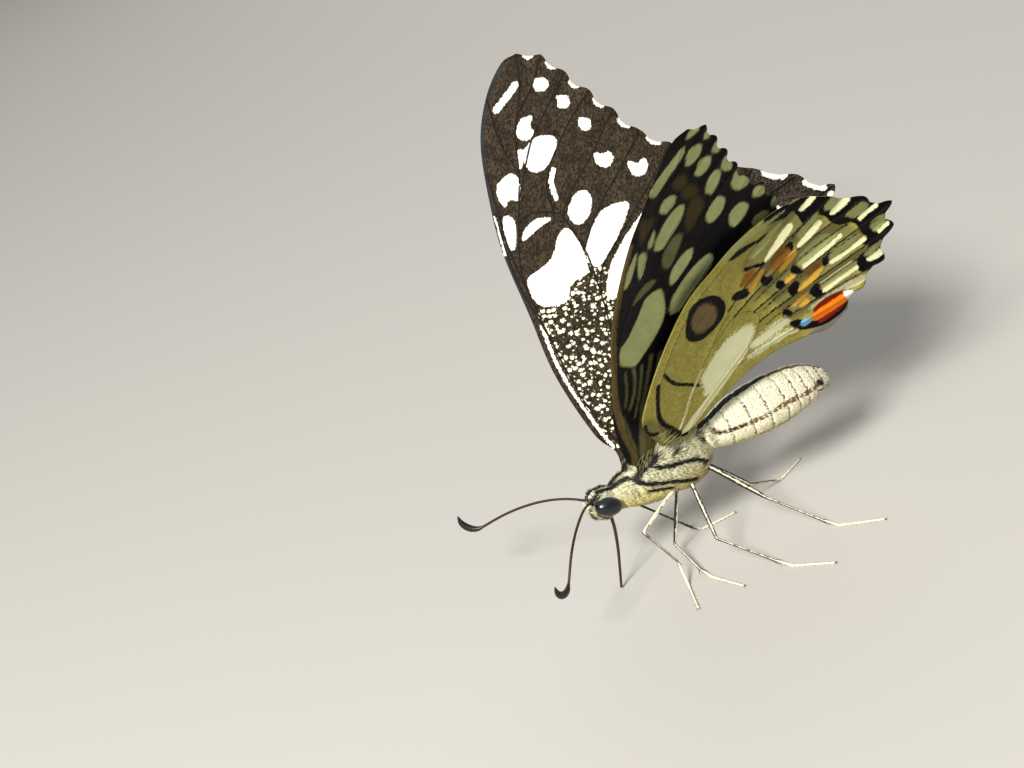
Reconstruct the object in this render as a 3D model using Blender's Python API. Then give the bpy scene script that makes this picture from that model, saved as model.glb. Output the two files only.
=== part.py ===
"""A chequered swallowtail butterfly at life size, standing on its feet with its wings half raised.

Sizes are in millimetres until a mesh is made. X runs towards the tail, the left side is -Y and Z is up.
The thorax sits round the origin while the animal is built, and at the end the whole of it is moved so
that its feet stand on Z = 0 with the middle of its outline over the origin.
"""

import math

import bmesh
import bpy
from mathutils import Matrix, Vector
from mathutils.geometry import delaunay_2d_cdt

MM = 0.001
GAP = 0.3
FLOOR = -11.5
LEFT = -1
RIGHT = 1

# Body: each station is a section at X, with the height of its middle, its half width and half height.
THORAX = ((-4.7, -0.2, 1.6, 2.2), (-3.0, 0.1, 2.2, 3.0), (-0.5, 0.4, 2.6, 3.8), (2.0, 0.35, 2.6, 3.9),
          (4.2, 0.2, 2.15, 3.3), (5.2, 0.3, 1.6, 2.4))
NECK = ((-6.4, -0.5, 1.15, 1.7), (-5.7, -0.45, 1.3, 1.95), (-5.0, -0.3, 1.45, 2.1))
ABDOMEN = ((5.5, 1.4, 1.35, 1.45), (7.0, 1.35, 1.85, 1.95), (9.2, 1.3, 2.35, 2.45), (12.0, 1.35, 2.75, 2.9),
           (15.0, 1.5, 2.85, 3.0), (18.0, 1.7, 2.55, 2.7), (20.0, 1.7, 2.05, 2.15),
           (21.5, 1.5, 1.25, 1.25), (22.1, 1.35, 0.45, 0.45))
FORE_COXA_CENTRE = (-2.2, 1.05, -2.5)
FORE_COXA_RADII = (2.7, 0.75, 0.85)
FORE_COXA_TILT = math.radians(12)
HEAD_CENTRE = (-7.7, 0.0, -0.55)
HEAD_RADII = (1.65, 1.45, 2.0)
EYE_CENTRE = (-7.7, 1.45, -0.45)
EYE_RADII = (1.35, 0.9, 0.98)
EYE_TILT = math.radians(19)
PALP_CENTRE = (-9.3, 0.45, -1.05)
PALP_RADII = (0.5, 0.36, 1.25)
PALP_TILT = math.radians(-22)

# Feelers and tongue.
FEELER_ROOT = (-8.3, 0.6, 0.2)
FEELER_LENGTH = 18.1
FEELER_STEPS = 24
FEELER_RADIUS = 0.26
CLUB_RADIUS = 0.5
CLUB_LENGTH = 3.4
FEELER_YAW_ROOT_AND_TIP = {LEFT: (54, 38), RIGHT: (45, 31)}
FEELER_PITCH_ROOT_CLUB_TIP = {LEFT: (37, -43, 97), RIGHT: (8, -21, 96)}
TONGUE = ((-7.3, 0.0, -2.2), (-7.35, 0.0, -4.2), (-7.7, 0.0, -6.6), (-8.2, 0.0, -8.9), (-8.75, 0.0, FLOOR + 0.35))
TONGUE_RADIUS = (0.3, 0.2)

# Legs: hip, knee, ankle, where the foot meets the floor, and the toe.
LEG_ROUTES = {
    "fore_left": ((0.2, -1.2, -2.3), (-5.6, -4.0, -3.9), (-2.9, -4.1, -9.0), (-3.1, -5.9, FLOOR), (-4.4, -10.6, FLOOR)),
    "fore_right": ((0.6, 1.1, -2.6), (-2.2, 5.0, -5.7), (2.2, 3.2, -10.2), (3.5, 3.4, FLOOR), (8.0, 3.4, FLOOR)),
    "mid_left": ((2.3, -1.2, -2.2), (1.5, -6.2, -7.4), (5.6, -10.6, -10.5), (6.8, -11.6, FLOOR), (10.4, -14.9, FLOOR)),
    "mid_right": ((1.7, 1.0, -2.8), (-1.0, 0.7, -9.9), (-0.9, -4.9, -10.9), (-0.5, -6.2, FLOOR), (1.2, -10.8, FLOOR)),
    "hind_left": ((4.5, -1.1, -1.2), (9.1, -4.6, -6.6), (13.4, -8.0, -10.4), (14.6, -8.8, FLOOR), (18.8, -11.9, FLOOR)),
    "hind_right": ((4.5, 1.1, -1.4), (10.5, 2.6, -8.4), (14.2, 4.6, -10.6), (15.5, 5.3, FLOOR), (19.5, 7.6, FLOOR)),
}
HIP_RADIUS = 0.36
THIGH_RADIUS = 0.42
KNEE_RADIUS = 0.34
SHIN_RADIUS = 0.28
FOOT_RADIUS = 0.26
TOE_RADIUS = 0.2
FOOT_FLAT = 0.06
JOINT_STUB = 0.45
LIMB_STEP = 1.0

# Wings: a place on a wing is (u, w), u towards the tip and w towards the hind edge.
WING_THICKNESS = 0.5
VEIN_RIDGE = 0.12
VEIN_HALF_WIDTH = 0.38
VEIN_STEP = 2.1
MEMBRANE_STEP = 3.2
MARGIN_STEP = 2.0
LOBE_STEPS = 6
FOREWING_BASE = Vector((-2.64, 2.16, 2.52))
FOREWING_AXES = {
    RIGHT: (Vector((0.1884, 0.4064, 0.8940)), Vector((0.9498, -0.3069, -0.0607))),
    LEFT: (Vector((0.1464, -0.4236, 0.8939)), Vector((0.9546, 0.2976, -0.0153))),
}
LEFT_TIP_BEND = 1.6
LEFT_TIP_BEND_FROM = 18.0
LEFT_TIP_BEND_LENGTH = 28.0
LEFT_COSTA_DROOP = 1.2
FOREWING_COSTA = ((-1.3, -0.9), (0.6, -1.2), (3.0, -3.0), (10.3, -5.5), (17.6, -6.6), (25.0, -7.7), (31.0, -7.7),
                  (37.6, -7.0), (42.4, -5.1), (45.6, -2.6), (46.3, -0.7))
FOREWING_TIPS = ((46.3, -0.7), (45.5, 2.0), (43.0, 4.1), (40.3, 6.2), (37.5, 8.3), (34.5, 10.5), (32.2, 13.5),
                 (25.1, 18.7))
FOREWING_NOTCH = 0.55
FOREWING_DORSUM = ((25.1, 18.7), (17.0, 12.0), (9.0, 5.9), (4.0, 2.4), (1.2, 1.4), (-1.3, 1.4))
FOREWING_VEINS = {
    "radius": ((0.5, -0.3), (8.0, -3.5), (19.3, -5.9), (23.4, -6.1), (27.9, -5.1), (30.5, -4.3), (33.2, -3.4),
               (37.8, -2.7), (45.6, -0.7)),
    "radial_branch": ((37.8, -2.7), (42.1, 0.0), (44.9, 1.7)),
    "median_1": ((30.5, -4.3), (35.0, -2.2), (40.0, 1.6), (42.5, 3.7)),
    "median_2": ((28.0, -1.1), (33.0, 0.2), (38.0, 3.8), (39.8, 5.7)),
    "median_3": ((24.8, 0.7), (30.7, 2.9), (37.0, 7.9)),
    "cubital_1": ((21.5, 1.5), (26.8, 4.0), (30.7, 7.2), (34.0, 10.1)),
    "cubital_2": ((15.0, 1.8), (25.3, 7.3), (31.7, 12.9)),
    "cubitus": ((0.5, 0.3), (9.0, 1.5), (15.0, 1.8), (21.5, 1.5), (24.8, 0.7), (28.0, -1.1)),
    "cell_end": ((27.9, -5.1), (28.5, -3.2), (28.0, -1.1)),
    "anal": ((0.8, 0.9), (12.0, 7.3), (24.4, 17.6)),
}
HINDWING_BASE = Vector((3.2, 2.2, 4.2))
HINDWING_AXES = (Vector((0.8460, 0.1450, 0.5130)), Vector((0.5304, -0.3264, -0.7824)))
HINDWING_SPREAD = {LEFT: 0.0, RIGHT: math.radians(2.5)}
HINDWING_STANDOFF = 1.15
HINDWING_FOLD_SOFTNESS = 1.2
HINDWING_ROOT = ((-2.6, -1.3), (-0.2, 0.4))
HINDWING_ROOT_RISE = 1.6
HINDWING_COSTA = ((-3.1, -0.5), (-2.7, -1.6), (-2.6, -4.0), (-1.9, -9.2), (0.1, -11.6), (5.0, -14.9), (10.8, -17.3),
                  (15.3, -17.1), (19.5, -16.3), (25.1, -13.2), (28.6, -8.4))
HINDWING_TIPS = ((28.6, -8.4), (31.2, -3.8), (33.0, 0.5), (31.4, 3.5), (28.1, 6.4), (24.5, 6.9), (21.3, 7.3))
HINDWING_NOTCH = 0.95
HINDWING_INNER = ((21.3, 7.3), (18.3, 7.0), (16.1, 4.9), (11.4, 1.7), (5.0, 0.3), (1.4, 0.2), (0.1, 0.9),
                  (-0.6, 1.4))
HINDWING_VEINS = {
    "subcosta": ((-1.8, -1.8), (-0.6, -7.5), (3.2, -12.2), (10.8, -15.9), (18.8, -15.6)),
    "radial_sector": ((-1.3, -1.4), (3.8, -5.2), (8.6, -7.8), (15.5, -10.6), (22.5, -10.3), (27.9, -8.2)),
    "median_1": ((12.9, -8.0), (22.0, -6.8), (30.4, -3.7)),
    "median_2": ((14.6, -5.5), (24.0, -2.6), (32.2, 0.4)),
    "median_3": ((14.2, -3.6), (23.0, 0.0), (30.7, 3.1)),
    "cubital_1": ((12.2, -2.4), (20.5, 1.9), (27.4, 5.8)),
    "cubital_2": ((8.4, -1.9), (16.0, 2.2), (23.8, 6.3)),
    "cubitus": ((-0.7, -0.7), (4.0, -1.6), (8.4, -1.9), (12.2, -2.4), (14.2, -3.6), (14.6, -5.5), (12.9, -8.0),
                (8.6, -7.8)),
}

# Colours as linear red, green and blue.
CREAM = (0.78, 0.74, 0.52)
STRIPED_HAIR = (0.62, 0.58, 0.40)
WING_BROWN = (0.045, 0.035, 0.028)
WING_OLIVE = (0.38, 0.37, 0.20)
EYE_BLACK = (0.010, 0.011, 0.016)
FEELER_RED = (0.075, 0.022, 0.014)
LEG_CREAM = (0.55, 0.50, 0.34)


def clear_scene():
    for obj in list(bpy.data.objects):
        bpy.data.objects.remove(obj, do_unlink=True)


def make_material(name, colour, roughness):
    material = bpy.data.materials.new(name)
    material.use_nodes = True
    shader = material.node_tree.nodes["Principled BSDF"]
    shader.inputs["Base Color"].default_value = (*colour, 1.0)
    shader.inputs["Roughness"].default_value = roughness
    shader.inputs["Metallic"].default_value = 0.0
    return material


def add_collection(name):
    collection = bpy.data.collections.new(name)
    bpy.context.scene.collection.children.link(collection)
    return collection


def add_object(name, bm, collection, material=None):
    """Turns a bmesh in millimetres into an object in metres."""
    bmesh.ops.scale(bm, vec=(MM, MM, MM), verts=bm.verts)
    mesh = bpy.data.meshes.new(name)
    bm.to_mesh(mesh)
    bm.free()
    obj = bpy.data.objects.new(name, mesh)
    collection.objects.link(obj)
    if material:
        mesh.materials.append(material)
        mesh.shade_smooth()
        mesh.set_sharp_from_angle(angle=math.radians(40))
    else:
        obj.hide_render = True
        obj.display_type = "WIRE"
    return obj


def smooth_through(points, steps):
    """Points on a smooth curve through the given ones, steps to each span."""
    rows = [Vector(p) for p in points]
    rows = [2 * rows[0] - rows[1]] + rows + [2 * rows[-1] - rows[-2]]
    out = []
    for i in range(1, len(rows) - 2):
        a, b, c, d = rows[i - 1:i + 3]
        for k in range(steps):
            t = k / steps
            out.append(0.5 * (2 * b + (c - a) * t + (2 * a - 5 * b + 4 * c - d) * t * t
                              + (3 * b - a - 3 * c + d) * t ** 3))
    out.append(rows[-2].copy())
    return out


def smooth_by_length(points, step):
    """The same curve with about the same distance between its points, keeping the given ones."""
    out = []
    for i in range(len(points) - 1):
        length = (Vector(points[i + 1]) - Vector(points[i])).length
        count = max(1, round(length / step))
        fine = smooth_through(points, count)
        out.extend(fine[i * count:(i + 1) * count])
    out.append(Vector(points[-1]))
    return out


def lofted_body(stations, sides, steps, grow=0.0):
    """A closed body through oval sections; grow moves its surface outwards."""
    bm = bmesh.new()
    rows = smooth_through([Vector(s) for s in stations], steps)
    first, last = rows[0][0], rows[-1][0]
    rings = []
    for row in rows:
        x, z, half_width, half_height = row
        x += grow * (2 * (x - first) / (last - first) - 1)
        ring = []
        for k in range(sides):
            a = 2 * math.pi * k / sides
            ring.append(bm.verts.new((x, (half_width + grow) * math.cos(a), z + (half_height + grow) * math.sin(a))))
        rings.append(ring)
    for ring, following in zip(rings, rings[1:]):
        for k in range(sides):
            n = (k + 1) % sides
            bm.faces.new((ring[k], ring[n], following[n], following[k]))
    bm.faces.new(rings[0][::-1])
    bm.faces.new(rings[-1])
    bmesh.ops.recalc_face_normals(bm, faces=bm.faces)
    return bm


def ellipsoid(centre, radii, tilt=0.0, segments=20, rings=12, grow=0.0):
    """A ball stretched to three radii and turned about Y."""
    bm = bmesh.new()
    size = Matrix.Diagonal((radii[0] + grow, radii[1] + grow, radii[2] + grow, 1.0))
    turn = Matrix.Rotation(tilt, 4, "Y")
    place = Matrix.Translation(Vector(centre)) @ turn @ size
    bmesh.ops.create_uvsphere(bm, u_segments=segments, v_segments=rings, radius=1.0, matrix=place)
    return bm


def mirrored(point, side):
    return (point[0], point[1] * side, point[2])


def tube(name, route, radii, collection, material):
    """A tube along a route with a radius at each point, with closed round ends."""
    curve = bpy.data.curves.new(name, "CURVE")
    curve.dimensions = "3D"
    curve.bevel_depth = MM
    curve.bevel_resolution = 2
    curve.use_fill_caps = True
    spline = curve.splines.new("POLY")
    spline.points.add(len(route) - 1)
    for point, place, radius in zip(spline.points, route, radii):
        point.co = (*(Vector(place) * MM), 1.0)
        point.radius = radius
    helper = bpy.data.objects.new(name + "_curve", curve)
    collection.objects.link(helper)
    bpy.context.view_layer.update()
    mesh = bpy.data.meshes.new_from_object(helper.evaluated_get(bpy.context.evaluated_depsgraph_get()))
    bpy.data.objects.remove(helper, do_unlink=True)
    bm = bmesh.new()
    bm.from_mesh(mesh)
    bpy.data.meshes.remove(mesh)
    bmesh.ops.remove_doubles(bm, verts=bm.verts, dist=1e-6)
    bmesh.ops.recalc_face_normals(bm, faces=bm.faces)
    bmesh.ops.scale(bm, vec=(1 / MM, 1 / MM, 1 / MM), verts=bm.verts)
    return add_object(name, bm, collection, material)


def bake_modifiers(obj):
    """Applies the modifiers of an object and keeps only its largest closed surface."""
    bpy.context.view_layer.update()
    mesh = bpy.data.meshes.new_from_object(obj.evaluated_get(bpy.context.evaluated_depsgraph_get()))
    obj.modifiers.clear()
    old = obj.data
    obj.data = mesh
    bpy.data.meshes.remove(old)
    bm = bmesh.new()
    bm.from_mesh(mesh)
    bmesh.ops.remove_doubles(bm, verts=bm.verts, dist=1e-6)
    left = set(bm.verts)
    islands = []
    while left:
        island = set()
        front = [next(iter(left))]
        while front:
            vert = front.pop()
            if vert in island:
                continue
            island.add(vert)
            front.extend(edge.other_vert(vert) for edge in vert.link_edges)
        islands.append(island)
        left -= island
    largest = max(islands, key=len)
    bmesh.ops.delete(bm, geom=[v for v in bm.verts if v not in largest], context="VERTS")
    bm.to_mesh(mesh)
    bm.free()


def combine(obj, other, operation):
    modifier = obj.modifiers.new(operation.lower(), "BOOLEAN")
    modifier.operation = operation
    modifier.object = other
    bake_modifiers(obj)


def cut_away(obj, *cutters):
    for cutter in cutters:
        combine(obj, cutter, "DIFFERENCE")


def cut_below_floor(obj):
    """Gives a foot its flat at the level of the floor."""
    bm = bmesh.new()
    bm.from_mesh(obj.data)
    geometry = bm.verts[:] + bm.edges[:] + bm.faces[:]
    cut = bmesh.ops.bisect_plane(bm, geom=geometry, plane_co=(0, 0, FLOOR * MM), plane_no=(0, 0, 1), clear_inner=True)
    rim = [e for e in cut["geom_cut"] if isinstance(e, bmesh.types.BMEdge)]
    bmesh.ops.triangle_fill(bm, use_beauty=True, edges=rim)
    bmesh.ops.remove_doubles(bm, verts=bm.verts, dist=1e-6)
    bmesh.ops.recalc_face_normals(bm, faces=bm.faces)
    bm.to_mesh(obj.data)
    bm.free()


def thorax_body(name, collection, material=None, grow=0.0):
    """The thorax with the two long fore coxae that hang under it."""
    thorax = add_object(name, lofted_body(THORAX, 20, 3, grow), collection, material)
    for side in (LEFT, RIGHT):
        bm = ellipsoid(mirrored(FORE_COXA_CENTRE, side), FORE_COXA_RADII, FORE_COXA_TILT, 12, 8, grow)
        coxa = add_object(name + "_coxa", bm, collection)
        combine(thorax, coxa, "UNION")
        bpy.data.objects.remove(coxa, do_unlink=True)
    return thorax


def make_body(parts, helpers, looks):
    """Thorax, neck, head, abdomen, eyes and palps, each cut clear of its neighbour."""
    thorax_body("thorax", parts, looks["hair"])
    head = add_object("head", ellipsoid(HEAD_CENTRE, HEAD_RADII), parts, looks["hair"])
    neck = add_object("neck", lofted_body(NECK, 20, 2), parts, looks["hair"])
    add_object("abdomen", lofted_body(ABDOMEN, 20, 2), parts, looks["cream"])
    head_room = add_object("head_room", ellipsoid(HEAD_CENTRE, HEAD_RADII, grow=GAP), helpers)
    cut_away(neck, head_room)
    for side, word in ((LEFT, "left"), (RIGHT, "right")):
        centre = mirrored(EYE_CENTRE, side)
        add_object("eye_" + word, ellipsoid(centre, EYE_RADII, EYE_TILT), parts, looks["eye"])
        socket = add_object("socket", ellipsoid(centre, EYE_RADII, EYE_TILT, grow=GAP), helpers)
        cut_away(head, socket)
        palp = add_object("palp_" + word, ellipsoid(mirrored(PALP_CENTRE, side), PALP_RADII, PALP_TILT, 12, 8),
                          parts, looks["hair"])
        cut_away(palp, head_room)
    return head_room


def feeler_route(side):
    """The path of a feeler: out from the face, sagging slightly, then turned up at the club."""
    place = Vector(mirrored(FEELER_ROOT, side))
    yaw_root, yaw_tip = (math.radians(a) for a in FEELER_YAW_ROOT_AND_TIP[side])
    pitch_root, pitch_club, pitch_tip = (math.radians(a) for a in FEELER_PITCH_ROOT_CLUB_TIP[side])
    step = FEELER_LENGTH / FEELER_STEPS
    route = [place.copy()]
    for k in range(FEELER_STEPS):
        t = (k + 0.5) / FEELER_STEPS
        yaw = yaw_root + (yaw_tip - yaw_root) * t
        pitch = pitch_root + (pitch_club - pitch_root) * min(1.0, t / 0.7)
        pitch += (pitch_tip - pitch_club) * max(0.0, (t - 0.8) / 0.2)
        place += step * Vector((-math.cos(yaw) * math.cos(pitch), side * math.sin(yaw) * math.cos(pitch),
                                math.sin(pitch)))
        route.append(place.copy())
    return route


def feeler_radius(distance):
    """Thin shaft, then a club that swells and rounds off at its tip."""
    along_club = (distance - FEELER_LENGTH + CLUB_LENGTH) / CLUB_LENGTH
    if along_club <= 0:
        return FEELER_RADIUS
    swell = math.sin(math.pi * min(along_club, 0.86) ** 0.9)
    return FEELER_RADIUS * (1 - 0.35 * along_club) + (CLUB_RADIUS - FEELER_RADIUS) * swell


def make_feelers_and_tongue(parts, looks, head_room):
    for side, word in ((LEFT, "left"), (RIGHT, "right")):
        route = feeler_route(side)
        radii = [feeler_radius(FEELER_LENGTH * k / FEELER_STEPS) for k in range(len(route))]
        feeler = tube("antenna_" + word, route, radii, parts, looks["feeler"])
        cut_away(feeler, head_room)
    route = smooth_through(TONGUE, 4)
    root, tip = TONGUE_RADIUS
    radii = [root + (tip - root) * k / (len(route) - 1) for k in range(len(route))]
    tongue = tube("proboscis", route, radii, parts, looks["feeler"])
    cut_away(tongue, head_room)


def towards(start, end, distance):
    start = Vector(start)
    return start + (Vector(end) - start).normalized() * distance


def make_leg(name, route, parts, looks, thorax_room):
    """Thigh with its knee, shin with its ankle, and a foot that lies on the floor."""
    hip, knee, ankle, heel, toe = (Vector(p) for p in route)
    heel.z += FOOT_RADIUS - FOOT_FLAT
    toe.z += TOE_RADIUS - FOOT_FLAT
    thigh = [hip, hip.lerp(knee, 0.3), hip.lerp(knee, 0.65), towards(knee, hip, 0.5), knee, towards(knee, ankle, JOINT_STUB)]
    thigh_radii = [HIP_RADIUS, THIGH_RADIUS, THIGH_RADIUS, KNEE_RADIUS, KNEE_RADIUS, SHIN_RADIUS]
    femur = tube("femur_" + name, thigh, thigh_radii, parts, looks["leg"])
    cut_away(femur, thorax_room)
    start = towards(knee, ankle, JOINT_STUB + GAP)
    shin = [start, start.lerp(ankle, 0.5), towards(ankle, knee, 0.4), ankle, towards(ankle, heel, JOINT_STUB)]
    tube("tibia_" + name, shin, [SHIN_RADIUS] * 4 + [FOOT_RADIUS], parts, looks["leg"])
    foot = [towards(ankle, heel, JOINT_STUB + GAP), towards(heel, ankle, 0.4), towards(heel, toe, 0.4)]
    foot += [heel.lerp(toe, 0.4), heel.lerp(toe, 0.75), toe]
    foot_radii = [FOOT_RADIUS] * 4 + [0.5 * (FOOT_RADIUS + TOE_RADIUS), TOE_RADIUS]
    tarsus = tube("tarsus_" + name, foot, foot_radii, parts, looks["leg"])
    cut_below_floor(tarsus)


def scalloped_edge(tips, depth):
    """The outer edge: a round lobe at each vein tip and a narrow notch half way to the next."""
    out = []
    for start, end in zip(tips, tips[1:]):
        a, b = Vector(start), Vector(end)
        inward = Vector((-(b - a).y, (b - a).x)).normalized()
        if inward.dot(a) > 0:
            inward = -inward
        for k in range(LOBE_STEPS):
            t = k / LOBE_STEPS
            out.append(a.lerp(b, t) + inward * depth * (1 - abs(math.cos(math.pi * t))))
    return out


def distance_to_line(point, line):
    nearest = 1e9
    for a, b in zip(line, line[1:]):
        span = b - a
        t = max(0.0, min(1.0, (point - a).dot(span) / span.length_squared))
        nearest = min(nearest, (point - a - span * t).length)
    return nearest


def inside_outline(point, outline):
    inside = False
    for a, b in zip(outline, outline[1:] + outline[:1]):
        if (a.y > point.y) != (b.y > point.y):
            if point.x < a.x + (point.y - a.y) / (b.y - a.y) * (b.x - a.x):
                inside = not inside
    return inside


def wing_layout(outline, veins):
    """Points, edges and the outline face of a wing, with points beside each vein and on the membrane."""
    points = list(outline)
    edges = []
    lines = [smooth_by_length(vein, VEIN_STEP) for vein in veins.values()]
    shared = {}
    for line in lines:
        indices = []
        for point in line:
            key = (round(point.x, 2), round(point.y, 2))
            if key not in shared:
                shared[key] = len(points)
                points.append(point)
            indices.append(shared[key])
        edges.extend(zip(indices, indices[1:]))
    fixed = len(points)

    def add_free(point, from_veins, from_points):
        if not inside_outline(point, outline) or distance_to_line(point, outline + outline[:1]) < 0.3:
            return
        if any(distance_to_line(point, line) < from_veins for line in lines):
            return
        if all((point - other).length > from_points for other in points[fixed:]):
            points.append(point)

    for line in lines:
        for k, point in enumerate(line):
            along = (line[min(k + 1, len(line) - 1)] - line[max(k - 1, 0)]).normalized()
            across = Vector((-along.y, along.x)) * VEIN_HALF_WIDTH
            add_free(point + across, VEIN_HALF_WIDTH * 0.97, 0.25)
            add_free(point - across, VEIN_HALF_WIDTH * 0.97, 0.25)
    lows = [min(p[i] for p in outline) for i in (0, 1)]
    highs = [max(p[i] for p in outline) for i in (0, 1)]
    for i in range(int((highs[0] - lows[0]) / MEMBRANE_STEP) + 1):
        for j in range(int((highs[1] - lows[1]) / MEMBRANE_STEP) + 1):
            offset = 0.5 * (i % 2)
            spot = Vector((lows[0] + i * MEMBRANE_STEP, lows[1] + (j + offset) * MEMBRANE_STEP))
            add_free(spot, 1.2, 1.2)
    return points, edges, lines


def wing_solid(outline, veins, place):
    """A wing of one thickness split into the same triangles on both faces, with its veins raised on both."""
    points, edges, lines = wing_layout(outline, veins)
    face = [list(range(len(outline)))]
    flat, _, triangles, *_ = delaunay_2d_cdt(points, edges, face, 1, 1e-4)
    bm = bmesh.new()
    upper = []
    lower = []
    for spot in flat:
        beside = min(distance_to_line(spot, line) for line in lines)
        ridge = VEIN_RIDGE * max(0.0, 1 - beside / VEIN_HALF_WIDTH)
        half = WING_THICKNESS / 2 + ridge
        upper.append(bm.verts.new(place(spot.x, spot.y, half)))
        lower.append(bm.verts.new(place(spot.x, spot.y, -half)))
    sides = {}
    for triangle in triangles:
        bm.faces.new([upper[i] for i in triangle])
        bm.faces.new([lower[i] for i in reversed(triangle)])
        for a, b in zip(triangle, triangle[1:] + triangle[:1]):
            sides[a, b] = (b, a) not in sides
            if not sides[a, b]:
                del sides[a, b]
                del sides[b, a]
    for a, b in sides:
        bm.faces.new((upper[b], upper[a], lower[a]))
        bm.faces.new((upper[b], lower[a], lower[b]))
    bmesh.ops.delete(bm, geom=[v for v in bm.verts if not v.link_faces], context="VERTS")
    bmesh.ops.recalc_face_normals(bm, faces=bm.faces)
    return bm


def smoothstep(low, high, value):
    t = max(0.0, min(1.0, (value - low) / (high - low)))
    return t * t * (3 - 2 * t)


def forewing_frame(side):
    """Base, tip axis, hind axis and the normal that points away from the other wing."""
    along, across = FOREWING_AXES[side]
    base = Vector(mirrored(FOREWING_BASE, side))
    normal = along.cross(across).normalized() * -side
    if normal.y * side < 0:
        normal = -normal
    return base, along.normalized(), across.normalized(), normal


def forewing_place(side):
    """A flat wing; the left one bends outwards towards its tip and along its leading edge."""
    base, along, across, outward = forewing_frame(side)

    def place(u, w, height):
        if side == LEFT:
            height += LEFT_TIP_BEND * max(0.0, (u - LEFT_TIP_BEND_FROM) / LEFT_TIP_BEND_LENGTH) ** 2
            height += LEFT_COSTA_DROOP * smoothstep(2.0, 7.0, -w) * smoothstep(5.0, 45.0, u)
        return base + along * u + across * w + outward * height

    return place


def hindwing_place(side):
    """A wing that lies against the outside of the forewing in front and turns away from it behind."""
    along, across = (Vector(mirrored(axis, side)).normalized() for axis in HINDWING_AXES)
    spread = HINDWING_SPREAD[side]
    along, across = (along * math.cos(spread) + across * math.sin(spread),
                     across * math.cos(spread) - along * math.sin(spread))
    base = Vector(mirrored(HINDWING_BASE, side))
    outward = along.cross(across).normalized()
    if outward.y * side < 0:
        outward = -outward
    fore_base, _, _, fore_outward = forewing_frame(side)
    root_a, root_b = (Vector(p) for p in HINDWING_ROOT)
    root_line = (root_b - root_a).normalized()
    rising = Vector((root_line.y, -root_line.x))

    def place(u, w, height):
        flat = base + along * u + across * w
        need = HINDWING_STANDOFF - fore_outward.dot(flat - fore_base)
        lift = 0.5 * (need + math.sqrt(need * need + HINDWING_FOLD_SOFTNESS ** 2))
        lift *= smoothstep(0.0, HINDWING_ROOT_RISE, rising.dot(Vector((u, w)) - root_a))
        return flat + outward * (height + lift)

    return place


def make_wings(parts, looks, thorax_room):
    fore_outline = smooth_by_length(FOREWING_COSTA, MARGIN_STEP)[:-1]
    fore_outline += scalloped_edge(FOREWING_TIPS, FOREWING_NOTCH)
    fore_outline += smooth_by_length(FOREWING_DORSUM, MARGIN_STEP)
    hind_outline = smooth_by_length(HINDWING_COSTA, MARGIN_STEP)[:-1]
    hind_outline += scalloped_edge(HINDWING_TIPS, HINDWING_NOTCH)
    hind_outline += smooth_by_length(HINDWING_INNER, MARGIN_STEP)
    for side, word in ((LEFT, "left"), (RIGHT, "right")):
        fore = add_object("forewing_" + word, wing_solid(fore_outline, FOREWING_VEINS, forewing_place(side)),
                          parts, looks["brown"])
        hind = add_object("hindwing_" + word, wing_solid(hind_outline, HINDWING_VEINS, hindwing_place(side)),
                          parts, looks["olive"])
        cut_away(fore, thorax_room)
        cut_away(hind, thorax_room)


def stand_over_origin(objects):
    """Moves the finished animal so that its feet are on the floor and its outline is centred."""
    corners = [v.co for obj in objects for v in obj.data.vertices]
    lows = [min(c[i] for c in corners) for i in range(3)]
    highs = [max(c[i] for c in corners) for i in range(3)]
    shift = Vector((-(lows[0] + highs[0]) / 2, -(lows[1] + highs[1]) / 2, -lows[2]))
    for obj in objects:
        obj.data.transform(Matrix.Translation(shift))


def main():
    clear_scene()
    parts = add_collection("chequered_swallowtail")
    helpers = add_collection("cutters")
    looks = {
        "hair": make_material("striped_hair", STRIPED_HAIR, 0.85),
        "cream": make_material("cream_scales", CREAM, 0.75),
        "brown": make_material("brown_wing_scales", WING_BROWN, 0.7),
        "olive": make_material("olive_wing_scales", WING_OLIVE, 0.7),
        "eye": make_material("eye_facets", EYE_BLACK, 0.15),
        "feeler": make_material("dark_red_cuticle", FEELER_RED, 0.45),
        "leg": make_material("scaled_leg", LEG_CREAM, 0.6),
    }
    head_room = make_body(parts, helpers, looks)
    thorax_room = thorax_body("thorax_room", helpers, grow=GAP)
    make_feelers_and_tongue(parts, looks, head_room)
    for name, route in LEG_ROUTES.items():
        make_leg(name, route, parts, looks, thorax_room)
    make_wings(parts, looks, thorax_room)
    stand_over_origin(list(parts.objects))


main()
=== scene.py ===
import math

import bpy
import numpy as np
from mathutils import Matrix, Vector
from mathutils.geometry import delaunay_2d_cdt


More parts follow.
